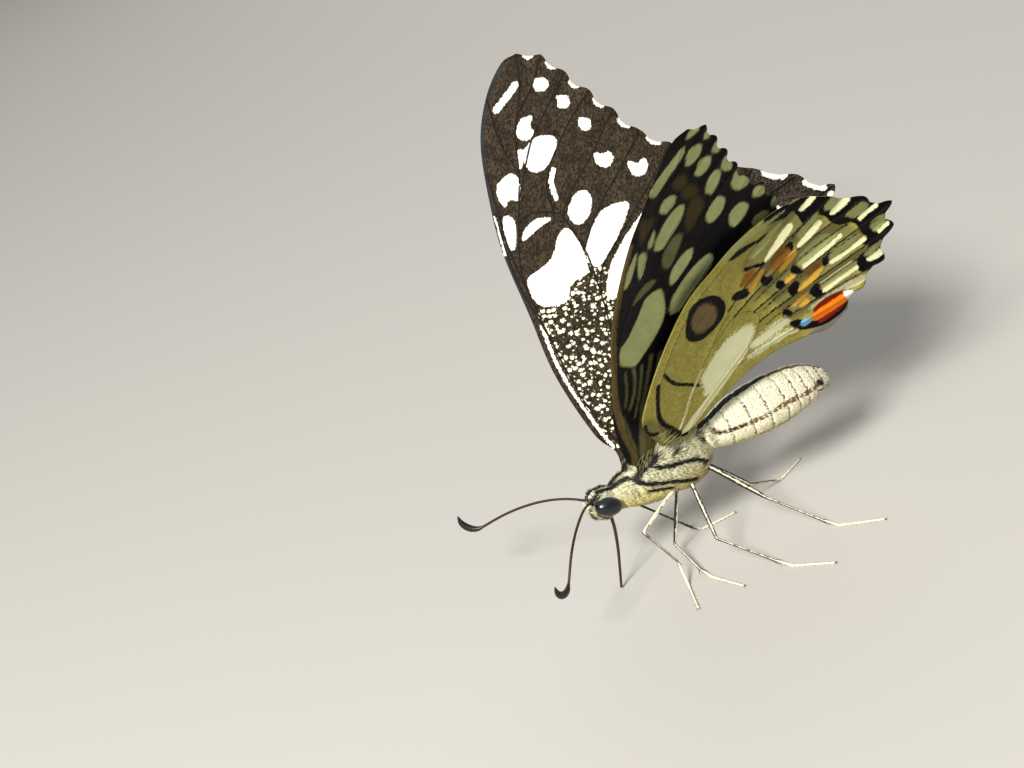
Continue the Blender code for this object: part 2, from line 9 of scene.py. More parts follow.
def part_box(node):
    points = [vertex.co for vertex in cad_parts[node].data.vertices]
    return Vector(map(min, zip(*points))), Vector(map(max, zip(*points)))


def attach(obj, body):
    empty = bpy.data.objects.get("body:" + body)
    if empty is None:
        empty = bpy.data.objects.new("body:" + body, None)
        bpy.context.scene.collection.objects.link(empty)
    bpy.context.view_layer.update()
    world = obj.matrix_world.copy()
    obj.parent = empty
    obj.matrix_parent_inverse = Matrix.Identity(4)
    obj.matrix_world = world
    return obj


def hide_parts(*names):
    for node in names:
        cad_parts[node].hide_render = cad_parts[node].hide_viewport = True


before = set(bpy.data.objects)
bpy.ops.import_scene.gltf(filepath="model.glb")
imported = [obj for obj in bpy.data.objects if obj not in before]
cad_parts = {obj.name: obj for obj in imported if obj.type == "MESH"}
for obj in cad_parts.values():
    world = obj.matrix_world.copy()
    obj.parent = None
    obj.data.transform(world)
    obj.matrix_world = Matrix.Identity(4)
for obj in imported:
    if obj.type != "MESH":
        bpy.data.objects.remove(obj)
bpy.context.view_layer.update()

# Where things are: the animal is described in millimetres from the middle of its thorax, X to the tail,
# its left side at -Y and Z up, as it was modelled. The left eye's node says where that middle is.
MM = 0.001
LEFT = -1
RIGHT = 1
FLOOR = -11.5
EYE_CENTRE = Vector((-7.7, -1.45, -0.45))
eye_low, eye_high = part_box("eye_left")
THORAX_MIDDLE = (eye_low + eye_high) / 2 - EYE_CENTRE * MM


def in_frame(points):
    """Points in millimetres from the thorax, as metres in the frame."""
    return np.asarray(points, float) * MM + np.array(THORAX_MIDDLE)


# Camera: low and to the front of the animal's left side, a little above its wings and rolled, so that
# the animal stands in the picture as it does in the photograph.
CAMERA_PLACE = (-57.37, -167.70, 93.80)
CAMERA_AZIMUTH = math.radians(-14.805)
CAMERA_ELEVATION = math.radians(23.862)
CAMERA_ROLL = math.radians(19.076)
CAMERA_LENS = 63.44
CAMERA_SENSOR = 36.0

level_right = Vector((math.cos(CAMERA_AZIMUTH), math.sin(CAMERA_AZIMUTH), 0))
behind = Vector((math.sin(CAMERA_AZIMUTH) * math.cos(CAMERA_ELEVATION),
                 -math.cos(CAMERA_AZIMUTH) * math.cos(CAMERA_ELEVATION), math.sin(CAMERA_ELEVATION)))
level_up = behind.cross(level_right)
right_axis = level_right * math.cos(CAMERA_ROLL) - level_up * math.sin(CAMERA_ROLL)
up_axis = level_right * math.sin(CAMERA_ROLL) + level_up * math.cos(CAMERA_ROLL)
camera_data = bpy.data.cameras.new("camera")
camera_data.sensor_width = CAMERA_SENSOR
camera_data.lens = CAMERA_LENS
camera_data.clip_start = 0.005
camera = bpy.data.objects.new("camera", camera_data)
bpy.context.scene.collection.objects.link(camera)
turn = Matrix((right_axis, up_axis, behind)).transposed().to_4x4()
camera.matrix_world = Matrix.Translation(Vector(in_frame([CAMERA_PLACE])[0])) @ turn
bpy.context.scene.camera = camera


# Floor and light: a pale matt studio floor, a soft lamp high on the animal's left, a weak and larger one
# from the other side, and an even pale surround.
FLOOR_SIDE = 6.0
FLOOR_COLOUR = "#bdb8ae"
KEY_PLACE = Vector((-0.34, -0.34, 0.42))
KEY_SIZE = 0.16
KEY_WATTS = 6.5
FILL_PLACE = Vector((0.30, 0.45, 0.30))
FILL_SIZE = 0.5
FILL_WATTS = 1.0
SURROUND_STRENGTH = 0.36


def linear(hex_colour):
    """An sRGB hex colour as linear red, green, blue and an alpha of 1."""
    parts = [int(hex_colour[i:i + 2], 16) / 255 for i in (1, 3, 5)]
    return tuple(c / 12.92 if c <= 0.04045 else ((c + 0.055) / 1.055) ** 2.4 for c in parts) + (1.0,)


def add_node(tree, kind, settings=None, inputs=None):
    """Adds a shader node with its settings; an input is a value, or another node's output to link."""
    node = tree.nodes.new("ShaderNode" + kind)
    for key, value in (settings or {}).items():
        setattr(node, key, value)
    for key, value in (inputs or {}).items():
        if isinstance(value, bpy.types.NodeSocket):
            tree.links.new(value, node.inputs[key])
        else:
            node.inputs[key].default_value = value
    return node


def new_material(name):
    """A material with its node tree and its Principled shader."""
    material = bpy.data.materials.new(name)
    material.use_nodes = True
    return material, material.node_tree, material.node_tree.nodes["Principled BSDF"]


def stored(tree, name, output="Fac"):
    """The value that a piece stores under a name at each of its points."""
    return add_node(tree, "Attribute", {"attribute_name": name}).outputs[output]


def noise(tree, place, scale, detail=2.0):
    """Soft cloudy noise from 0 to 1."""
    clouds = add_node(tree, "TexNoise", inputs={"Vector": place, "Scale": scale, "Detail": detail})
    return clouds.outputs["Fac"]


def compute(tree, operation, *values):
    """One step of arithmetic on numbers and other nodes' values."""
    return add_node(tree, "Math", {"operation": operation}, dict(enumerate(values))).outputs["Value"]


def ranged(tree, value, low, high, to_low=0.0, to_high=1.0, shape="LINEAR"):
    """A value carried from one range into another and held inside it."""
    return add_node(tree, "MapRange", {"interpolation_type": shape},
                    {"Value": value, "From Min": low, "From Max": high, "To Min": to_low,
                     "To Max": to_high}).outputs["Result"]


def mixed(tree, share, first, second):
    """Two colours mixed; each is a hex colour or another node's."""
    first, second = (linear(c) if isinstance(c, str) else c for c in (first, second))
    return add_node(tree, "Mix", {"data_type": "RGBA"}, {0: share, 6: first, 7: second}).outputs[2]


def marked(tree, colour, mark, depth, ragged, roughness, soft):
    """A mark laid over a colour where its depth is above nought, with a ragged and soft edge."""
    edge = compute(tree, "MULTIPLY_ADD", ragged, roughness, depth)
    return mixed(tree, ranged(tree, edge, -soft, soft, shape="SMOOTHSTEP"), colour, mark)


def brightened(tree, colour, factor):
    product = add_node(tree, "VectorMath", {"operation": "SCALE"}, {0: colour, "Scale": factor})
    return product.outputs["Vector"]


def add_relief(tree, shader, height, strength, depth):
    """Fine relief that only the light shows; its depth is in metres."""
    bump = add_node(tree, "Bump", inputs={"Height": height, "Strength": strength, "Distance": depth})
    tree.links.new(bump.outputs["Normal"], shader.inputs["Normal"])
    return bump


def add_lamp(name, place, size, watts):
    lamp = bpy.data.lights.new(name, "AREA")
    lamp.size = size
    lamp.energy = watts
    holder = bpy.data.objects.new(name, lamp)
    bpy.context.scene.collection.objects.link(holder)
    holder.location = place
    holder.rotation_euler = place.to_track_quat("Z", "Y").to_euler()


bpy.ops.object.select_all(action="DESELECT")
bpy.ops.mesh.primitive_plane_add(size=FLOOR_SIDE, location=(0, 0, 0))
floor = bpy.context.active_object
floor.name = "studio_floor"
floor_paint, tree, shader = new_material("studio_floor_paint")
cloudy = noise(tree, add_node(tree, "TexCoord").outputs["Object"], 5.0)
tree.links.new(ranged(tree, cloudy, 0, 1, 0.72, 0.8), shader.inputs["Roughness"])
shader.inputs["Base Color"].default_value = linear(FLOOR_COLOUR)
floor.data.materials.append(floor_paint)
add_lamp("sun_lamp", KEY_PLACE, KEY_SIZE, KEY_WATTS)
add_lamp("far_lamp", FILL_PLACE, FILL_SIZE, FILL_WATTS)
surround = bpy.data.worlds.new("pale_surround")
surround.use_nodes = True
sky = surround.node_tree.nodes["Background"]
sky.inputs["Color"].default_value = linear("#eef1f6")
sky.inputs["Strength"].default_value = SURROUND_STRENGTH
bpy.context.scene.world = surround
bpy.context.scene.view_settings.view_transform = "Standard"


# Wings: two membranes of chitin a few hundredths of a millimetre thick, stiffened by hollow veins and
# covered on both sides with overlapping scales, dark or pale, that make the pattern. A place on a wing is
# (u, w) in millimetres: u from the root towards the tip and w towards the hind edge.
WING_THICKNESS = 0.16
GRID_STEP = 0.27
EDGE_STEP = 0.26
VEIN_STEP = 0.35
VEIN_FLANK = (0.1, 0.24)
VEIN_HEIGHT = 0.05
VEIN_HALF_WIDTH = 0.2
LOBE_STEPS = 16
LOBE_SHARE = 0.55
NO_CELL = 90
FAR_AWAY = 99.0
OUTSIDE = -9.0
ROW_HEIGHT = 0.866
FOREWING_BASE = (-2.64, 2.16, 2.52)
FOREWING_AXES = {
    RIGHT: ((0.1884, 0.4064, 0.8940), (0.9498, -0.3069, -0.0607)),
    LEFT: ((0.1464, -0.4236, 0.8939), (0.9546, 0.2976, -0.0153)),
}
LEFT_TIP_BEND = 1.6
LEFT_TIP_BEND_FROM = 18.0
LEFT_TIP_BEND_LENGTH = 28.0
LEFT_COSTA_DROOP = 1.2
HINDWING_BASE = (3.2, 2.2, 4.2)
HINDWING_AXES = ((0.8460, 0.1450, 0.5130), (0.5304, -0.3264, -0.7824))
HINDWING_SPREAD = {LEFT: 0.0, RIGHT: math.radians(2.5)}
HINDWING_STANDOFF = 1.15
HINDWING_FOLD_SOFTNESS = 1.2
HINDWING_ROOT = ((-2.6, -1.3), (-0.2, 0.4))
HINDWING_ROOT_RISE = 1.6


def on_wing(*numbers):
    """Numbers taken two by two, as places (u, w) on a wing."""
    return tuple(zip(numbers[::2], numbers[1::2]))


def in_space(*numbers):
    """Numbers taken three by three, as places (x, y, z)."""
    return tuple(zip(numbers[::3], numbers[1::3], numbers[2::3]))


FOREWING = {
    "lead": on_wing(-1.3, -0.9, 0.6, -1.2, 3, -3, 10.3, -5.5, 17.6, -6.6, 25, -7.7, 31, -7.7, 37.6, -7, 42.4,
        -5.1, 45.6, -2.6, 46.3, -0.7),
    "tips": on_wing(46.3, -0.7, 45.5, 2, 43, 4.1, 40.3, 6.2, 37.5, 8.3, 34.5, 10.5, 32.2, 13.5, 28.9, 16.1,
        25.1, 18.7),
    "notch": 0.55,
    "trail": on_wing(25.1, 18.7, 17, 12, 9, 5.9, 4, 2.4, 1.2, 1.4, -1.3, 1.4),
    # From the leading edge to the hind edge, each as far as the wing's outer edge.
    "rays": (
        on_wing(0.5, -0.3, 8, -3.5, 19.3, -5.9, 27.9, -5.1, 33.2, -3.7, 37.8, -2.95, 42.3, -1.3, 46, -0.7),
        on_wing(27.9, -5.1, 33.2, -3.7, 37.8, -2.95, 40.1, -1.8, 42.1, 0, 45.2, 1.9),
        on_wing(19.3, -5.9, 27.9, -5.1, 30.5, -4.3, 35, -2.2, 37.1, -0.9, 40, 1.6, 42.8, 4),
        on_wing(24.8, 0.7, 28, -1.1, 30.6, -1.15, 33, -0.25, 35.3, 1.5, 38, 3.8, 40.1, 6.1),
        on_wing(21.5, 1.5, 24.8, 0.7, 28.7, 0.6, 30.7, 2.3, 33.3, 4.8, 37.3, 8.1),
        on_wing(15, 1.8, 21.5, 1.5, 26.8, 3.6, 30.7, 7.2, 34.3, 10.4),
        on_wing(9, 1.5, 15, 1.8, 20, 2.4, 25.3, 7.1, 29.5, 11.1, 32, 13.3),
        on_wing(0.8, 0.9, 12, 7.3, 24.8, 18.2),
    ),
    "veins": {
        "radius": on_wing(0.5, -0.3, 8, -3.5, 19.3, -5.9, 23.4, -6.1, 27.9, -5.1, 30.5, -4.4, 33.2, -3.7,
            37.8, -2.95, 42.3, -1.3, 46, -0.7),
        "radius_1": on_wing(14, -4.9, 22, -7, 29.5, -7.4),
        "radius_2": on_wing(17, -5.5, 25, -6.9, 34, -7.2),
        "radius_3": on_wing(33.2, -3.7, 37, -4.9, 42.2, -5.1),
        "radial_branch": on_wing(37.8, -2.95, 40.1, -1.8, 42.1, 0, 45.3, 1.9),
        "median_1": on_wing(30.5, -4.3, 35, -2.2, 37.1, -0.9, 40, 1.6, 42.8, 4),
        "median_2": on_wing(28, -1.1, 30.6, -1.15, 33, -0.25, 35.3, 1.5, 38, 3.8, 40.1, 6.1),
        "median_3": on_wing(27.3, -0.2, 28.7, 0.6, 30.7, 2.3, 33.3, 4.8, 37.3, 8.1),
        "cubital_1": on_wing(23, 1.1, 26.8, 3.6, 30.7, 7.2, 34.3, 10.4),
        "cubital_2": on_wing(18, 1.8, 20.7, 2.7, 25.3, 7.1, 29.5, 11.1, 32, 13.3),
        "cubitus": on_wing(0.5, 0.3, 9, 1.5, 15, 1.8, 21.5, 1.5, 24.8, 0.7, 27.3, -0.2, 28, -1.1),
        "cell_end": on_wing(27.9, -5.1, 28.5, -3.5, 28, -1.1),
        "anal": on_wing(0.8, 0.9, 12, 7.3, 24.8, 18.2),
    },
}
HINDWING = {
    "lead": on_wing(-3.1, -0.5, -2.7, -1.6, -2.6, -4, -1.9, -9.2, 0.1, -11.6, 5, -14.9, 10.8, -17.3, 15.3,
        -17.1, 19.5, -16.3, 25.1, -13.2, 28.6, -8.4),
    "tips": on_wing(28.6, -8.4, 31.2, -3.8, 33, 0.5, 31.4, 3.5, 28.1, 6.4, 24.5, 6.9, 21.3, 7.3),
    "notch": 0.95,
    "trail": on_wing(21.3, 7.3, 18.3, 7, 16.1, 4.9, 11.4, 1.7, 5, 0.3, 1.4, 0.2, 0.1, 0.9, -0.6, 1.4),
    "rays": (
        on_wing(-1.8, -1.8, -0.6, -7.5, 3.2, -12.2, 10.8, -15.9, 19, -15.8, 24.6, -13.2),
        on_wing(3.8, -5.2, 8.6, -7.8, 15.5, -10, 22.5, -9.2, 28.3, -8.2),
        on_wing(3.8, -5.2, 8.6, -7.8, 12.9, -8, 22, -6.8, 30.9, -3.7),
        on_wing(3.8, -4, 10, -5.6, 14.6, -5.5, 24, -2.6, 32.6, 0.4),
        on_wing(4, -2.6, 12.2, -3.2, 14.2, -3.6, 23, 0, 31.1, 3.3),
        on_wing(4, -1.6, 8.4, -1.9, 12.2, -2.4, 20.5, 1.9, 27.8, 6.1),
        on_wing(4, -1.6, 8.4, -1.9, 16, 2.2, 24.2, 6.6),
        on_wing(2, 0, 5, 0, 11.4, 1.2, 16, 4.4, 21, 6.9),
    ),
    "veins": {
        "subcosta": on_wing(-1.8, -1.8, -0.6, -7.5, 3.2, -12.2, 10.8, -15.9, 18.8, -15.6),
        "radial_sector": on_wing(-1.3, -1.4, 3.8, -5.2, 8.6, -7.8, 15.5, -10, 22.5, -9.2, 28.3, -8.2),
        "median_1": on_wing(12.9, -8, 22, -6.8, 30.9, -3.7),
        "median_2": on_wing(14.6, -5.5, 24, -2.6, 32.6, 0.4),
        "median_3": on_wing(14.2, -3.6, 23, 0, 31.1, 3.3),
        "cubital_1": on_wing(12.2, -2.4, 20.5, 1.9, 27.8, 6.1),
        "cubital_2": on_wing(8.4, -1.9, 16, 2.2, 24.2, 6.6),
        "cubitus": on_wing(-0.7, -0.7, 4, -1.6, 8.4, -1.9, 12.2, -2.4, 14.2, -3.6, 14.6, -5.5, 12.9, -8, 8.6,
            -7.8),
    },
}


def smooth_run(a, b, c, d, steps):
    """Points on a smooth curve from b up to c, where a comes before and d after."""
    return [0.5 * (2 * b + (c - a) * t + (2 * a - 5 * b + 4 * c - d) * t * t
                   + (3 * b - a - 3 * c + d) * t ** 3) for t in np.arange(steps) / steps]


def smooth_line(points, step):
    """Points about a step apart on a smooth curve through the given ones, as an array."""
    rows = [np.array(p, float) for p in points]
    rows = [2 * rows[0] - rows[1]] + rows + [2 * rows[-1] - rows[-2]]
    out = []
    for a, b, c, d in zip(rows, rows[1:], rows[2:], rows[3:]):
        out += smooth_run(a, b, c, d, max(1, round(np.linalg.norm(c - b) / step)))
    return np.array(out + [rows[-2]])


def smooth_loop(points, steps=4):
    """A smooth closed outline through the given points."""
    rows = np.array(points, float)
    turned = zip(*(np.roll(rows, shift, 0) for shift in (1, 0, -1, -2)))
    return np.array([place for four in turned for place in smooth_run(*four, steps)])


def distance_to_line(points, line):
    """The shortest distance from each point to a line of straight runs."""
    line = np.asarray(line, float)
    nearest = np.full(len(points), 1e9)
    for a, b in zip(line, line[1:]):
        span = b - a
        t = np.clip((points - a) @ span / max(span @ span, 1e-12), 0, 1)
        nearest = np.minimum(nearest, np.linalg.norm(points - a - t[:, None] * span, axis=1))
    return nearest


def inside_loop(points, loop):
    """Whether each point lies inside a closed outline."""
    inside = np.zeros(len(points), bool)
    for a, b in zip(loop, np.roll(loop, -1, axis=0)):
        crosses = (a[1] > points[:, 1]) != (b[1] > points[:, 1])
        at = a[0] + (points[:, 1] - a[1]) / (b[1] - a[1] if b[1] != a[1] else 1e-9) * (b[0] - a[0])
        inside ^= crosses & (points[:, 0] < at)
    return inside


def depth_in_loop(points, loop):
    """The distance to a closed outline, positive inside it."""
    away = distance_to_line(points, np.vstack([loop, loop[:1]]))
    return np.where(inside_loop(points, loop), away, -away)


def smoothstep(low, high, value):
    t = np.clip((value - low) / (high - low), 0, 1)
    return t * t * (3 - 2 * t)


def notches(tips, depth):
    """From each vein tip to the next: both places, the way inward and the notch's depth, less at the apex."""
    tips = np.array(tips)
    for k, (a, b) in enumerate(zip(tips, tips[1:])):
        inward = np.array((-(b - a)[1], (b - a)[0])) / np.linalg.norm(b - a)
        yield a, b, inward * (-1 if inward @ a > 0 else 1), depth * min(1.0, 0.4 + 0.3 * k)


def lobed_edge(tips, deepest):
    """The outer edge: a round lobe at each vein tip and a shallow notch half way to the next."""
    return [a + (b - a) * t + inward * depth * min(1, (1 - abs(math.cos(math.pi * t))) / LOBE_SHARE)
            for a, b, inward, depth in notches(tips, deepest) for t in np.arange(LOBE_STEPS) / LOBE_STEPS]


def forewing_axes(side):
    """Base, tip axis, hind axis, and the normal that points away from the other wing."""
    base = np.array(FOREWING_BASE) * (1, side, 1)
    along, across = (np.array(a) / np.linalg.norm(a) for a in FOREWING_AXES[side])
    outward = np.cross(along, across)
    outward /= np.linalg.norm(outward)
    return base, along, across, outward * (1 if outward[1] * side > 0 else -1)


def forewing_surface(side, flat, height):
    base, along, across, outward = forewing_axes(side)
    u, w = flat.T
    if side == LEFT:
        bend = np.clip((u - LEFT_TIP_BEND_FROM) / LEFT_TIP_BEND_LENGTH, 0, None)
        height = height + LEFT_TIP_BEND * bend ** 2
        height = height + LEFT_COSTA_DROOP * smoothstep(2.0, 7.0, -w) * smoothstep(5.0, 45.0, u)
    return base + np.outer(u, along) + np.outer(w, across) + np.outer(height, outward), outward


def hindwing_surface(side, flat, height):
    """Lies against the outside of the forewing in front and turns away from it behind."""
    along, across = (np.array(a) * (1, side, 1) for a in HINDWING_AXES)
    along, across = along / np.linalg.norm(along), across / np.linalg.norm(across)
    spread = HINDWING_SPREAD[side]
    along, across = (along * math.cos(spread) + across * math.sin(spread),
                     across * math.cos(spread) - along * math.sin(spread))
    outward = np.cross(along, across)
    outward *= (1 if outward[1] * side > 0 else -1) / np.linalg.norm(outward)
    place = np.array(HINDWING_BASE) * (1, side, 1)
    place = place + np.outer(flat[:, 0], along) + np.outer(flat[:, 1], across)
    fore_base, _, _, fore_outward = forewing_axes(side)
    need = HINDWING_STANDOFF - (place - fore_base) @ fore_outward
    lift = 0.5 * (need + np.sqrt(need ** 2 + HINDWING_FOLD_SOFTNESS ** 2))
    root_a, root_b = np.array(HINDWING_ROOT)
    root_line = (root_b - root_a) / np.linalg.norm(root_b - root_a)
    lift *= smoothstep(0.0, HINDWING_ROOT_RISE, (flat - root_a) @ np.array((root_line[1], -root_line[0])))
    return place + np.outer(height + lift, outward), outward


def wing_net(wing):
    """The wing laid flat: points, triangles, its outline and its veins as fine lines."""
    outline = list(smooth_line(wing["lead"], EDGE_STEP))[:-1]
    outline += lobed_edge(wing["tips"], wing["notch"])
    outline += list(smooth_line(wing["trail"], EDGE_STEP))
    outline = np.array(outline)
    lines = [smooth_line(vein, VEIN_STEP) for vein in wing["veins"].values()]
    rows = []
    for line in lines:
        rows.append(line)
        along = np.gradient(line, axis=0)
        across = np.stack([-along[:, 1], along[:, 0]], 1) / np.linalg.norm(along, axis=1)[:, None]
        rows += [line + across * flank * way for flank in VEIN_FLANK for way in (1, -1)]
    beside = np.vstack(rows)
    low, high = outline.min(0), outline.max(0)
    across, along = np.meshgrid(np.arange(low[1], high[1], GRID_STEP),
                                np.arange(low[0], high[0], GRID_STEP * ROW_HEIGHT))
    across = across + np.where(np.arange(len(across)) % 2, 0.5 * GRID_STEP, 0.0)[:, None]
    grid = np.stack([along.ravel(), across.ravel()], 1)
    from_veins = np.min([distance_to_line(grid, line) for line in lines], axis=0)
    grid = grid[from_veins > VEIN_FLANK[1] + 0.4 * GRID_STEP]
    free = np.vstack([beside, grid])
    free = free[depth_in_loop(free, outline) > 0.12]
    points = [Vector(p) for p in np.vstack([outline, free])]
    flat, _, faces, *_ = delaunay_2d_cdt(points, [], [list(range(len(outline)))], 1, 1e-4)
    return np.array([p[:] for p in flat]), np.array(faces), outline, lines


def across_cell(flat, rays):
    """For each point, its share of the way from the vein in front to the one behind, and the cell's width."""
    in_front = np.full(len(flat), FAR_AWAY)
    behind_it = np.full(len(flat), FAR_AWAY)
    for ray in rays:
        line = smooth_line(ray, 1.0)
        away = distance_to_line(flat, line)
        nearest = np.argmin(np.linalg.norm(flat[:, None] - line[None], axis=2), axis=1)
        nearest = np.clip(nearest, 0, len(line) - 2)
        span = line[nearest + 1] - line[nearest]
        offset = flat - line[nearest]
        dorsal = span[:, 0] * offset[:, 1] - span[:, 1] * offset[:, 0] > 0
        in_front = np.where(dorsal, np.minimum(in_front, away), in_front)
        behind_it = np.where(dorsal, behind_it, np.minimum(behind_it, away))
    width = np.where((in_front > NO_CELL) | (behind_it > NO_CELL), FAR_AWAY, in_front + behind_it)
    return np.where(width > NO_CELL, 0.5, in_front / width), width


def marks_depth(flat, marks):
    """How deep each point lies in the nearest of some marks: smooth outlines, ovals or broad lines."""
    deepest = np.full(len(flat), OUTSIDE)
    for kind, shape, *sizes in marks:
        if kind == "line":
            depth = sizes[0] - distance_to_line(flat, smooth_line(shape, 0.6))
        elif kind == "oval":
            turned = math.radians(sizes[2])
            x, y = (flat - np.array(shape)).T
            long_way = (x * math.cos(turned) + y * math.sin(turned)) / sizes[0]
            short_way = (y * math.cos(turned) - x * math.sin(turned)) / sizes[1]
            depth = (1 - np.hypot(long_way, short_way)) * min(sizes[:2])
        else:
            depth = depth_in_loop(flat, smooth_loop(shape))
        deepest = np.maximum(deepest, depth)
    return deepest


def edge_lunules(tips, deepest, half_width, reach):
    """A pale bar along the bottom of each notch of the outer edge, longer towards the hind corner."""
    marks = []
    for a, b, inward, notch in notches(tips, deepest):
        reach += 0.01
        ends = [a + (b - a) * (0.5 + way * reach) + inward * (notch - 0.05) for way in (-1, 1)]
        marks.append(("line", (ends[0], (a + b) / 2 + inward * (notch + 0.12), ends[1]), half_width))
    return marks


def patches(*rows):
    """Marks with smooth outlines, each a row of places."""
    return [("patch", on_wing(*row)) for row in rows]


def stripes(*rows):
    """Broad lines: each row is a half width and the places."""
    return [("line", on_wing(*row), half_width) for half_width, *row in rows]


def ovals(*rows):
    """Ovals: each row is a middle, two half lengths and the degrees it is turned by."""
    return [("oval", row[:2], *row[2:]) for row in rows]


# The pattern of each of the four kinds of wing surface, as shapes in the wing's own millimetres. Which
# covers which is the order in the finishes below.
FOREWING_UPPER = {
    "pale": edge_lunules(FOREWING["tips"], FOREWING["notch"], 0.3, 0.1) + patches(
        (43, 0.6, 42.7, 1.9, 41.6, 1.8, 41.5, 0.6, 42.2, 0.3),
        (40.5, 2.5, 40.1, 3.8, 39, 3.5, 39.2, 2.4, 39.9, 2.5), (37.5, 4.3, 36.9, 5.5, 35.9, 5.1, 36.2, 4.2),
        (33.3, 5, 32.9, 5.8, 33, 6.6, 32.2, 6.9, 31.4, 6.3, 31.5, 5.4, 32.2, 4.9),
        (31.4, 8.4, 30.9, 9.3, 31.3, 10.2, 30.4, 10.4, 29.5, 9.7, 29.6, 8.7, 30.3, 8.3),
        (28.9, 12.6, 28.4, 13.5, 28.5, 14.4, 27.4, 14.4, 26.8, 13.4, 27.4, 12.4),
        (37.3, -2.9, 38.9, -2.1, 39, -0.7, 38, -1.2, 37.2, -0.9, 36.5, -1.9),
        (35.6, -3.3, 35.3, -2.4, 33.5, -3.5),
        (35.6, -2.4, 36.6, -0.8, 36.1, 1.2, 34.3, 0.6, 32.9, -0.9, 33, -2.3, 34.3, -2.8),
        (33.4, -4.7, 32.4, -3.9, 30.2, -4.4, 30.6, -5.4, 29.9, -6.2, 31, -6.6, 32.5, -6.4),
        (28.8, -6.7, 28.2, -5.5, 25.2, -6.2, 25.6, -7),
        (25.7, -5.2, 26.8, -4.8, 27.7, -3.2, 27.4, -1.5, 26.9, -2.6, 26.2, -4),
        (27.4, 0.4, 29.2, 1.6, 29.5, 2.9, 28.3, 3.4, 26.7, 2.7, 25.9, 1.2),
        (20.8, 2.1, 22.4, 1.2, 24.8, 2.3, 26.9, 4.4, 27, 7.2, 25.3, 6.5, 22.6, 4.3),
        (25, 7.9, 21.5, 4.2, 18.6, 2.6, 17, 2.5, 17.2, 4, 19.2, 7.8, 22.6, 11.6, 25.2, 12.2, 25.9, 10),
        (25.2, -1.3, 25.9, -0.4, 25.5, 0.3, 24.2, 0.8, 22.2, 1.1, 20.5, 0.9, 20.1, -0.3, 19.4, -1.4, 18, -2.1,
         17.9, -4.2, 18.9, -5.6, 21.4, -5.8, 22.2, -4.1, 22.8, -2.9, 23.9, -2)) + stripes(
        (0.38, 40.7, -4.4, 42, -2.7, 42.9, -1.6), (0.26, 32.6, 0.1, 31.2, -0.5, 29.4, -0.4),
        (0.15, 29.2, -7.5, 24.7, -7.45),
        (0.17, 1, -1.2, 3.6, -2.45, 10.4, -4.75, 16, -5.6)),
    "speck": patches((0.6, -1, 7, -3.3, 14, -5.1, 18, -5.4, 19, -1, 21.5, 1.2, 17.5, 6, 12, 7, 5, 2.9)),
    "blue": stripes((0.35, 17.6, -6.6, 25, -7.7, 31, -7.7, 37.6, -7, 42.4, -5.1, 45.6, -2.6)),
}
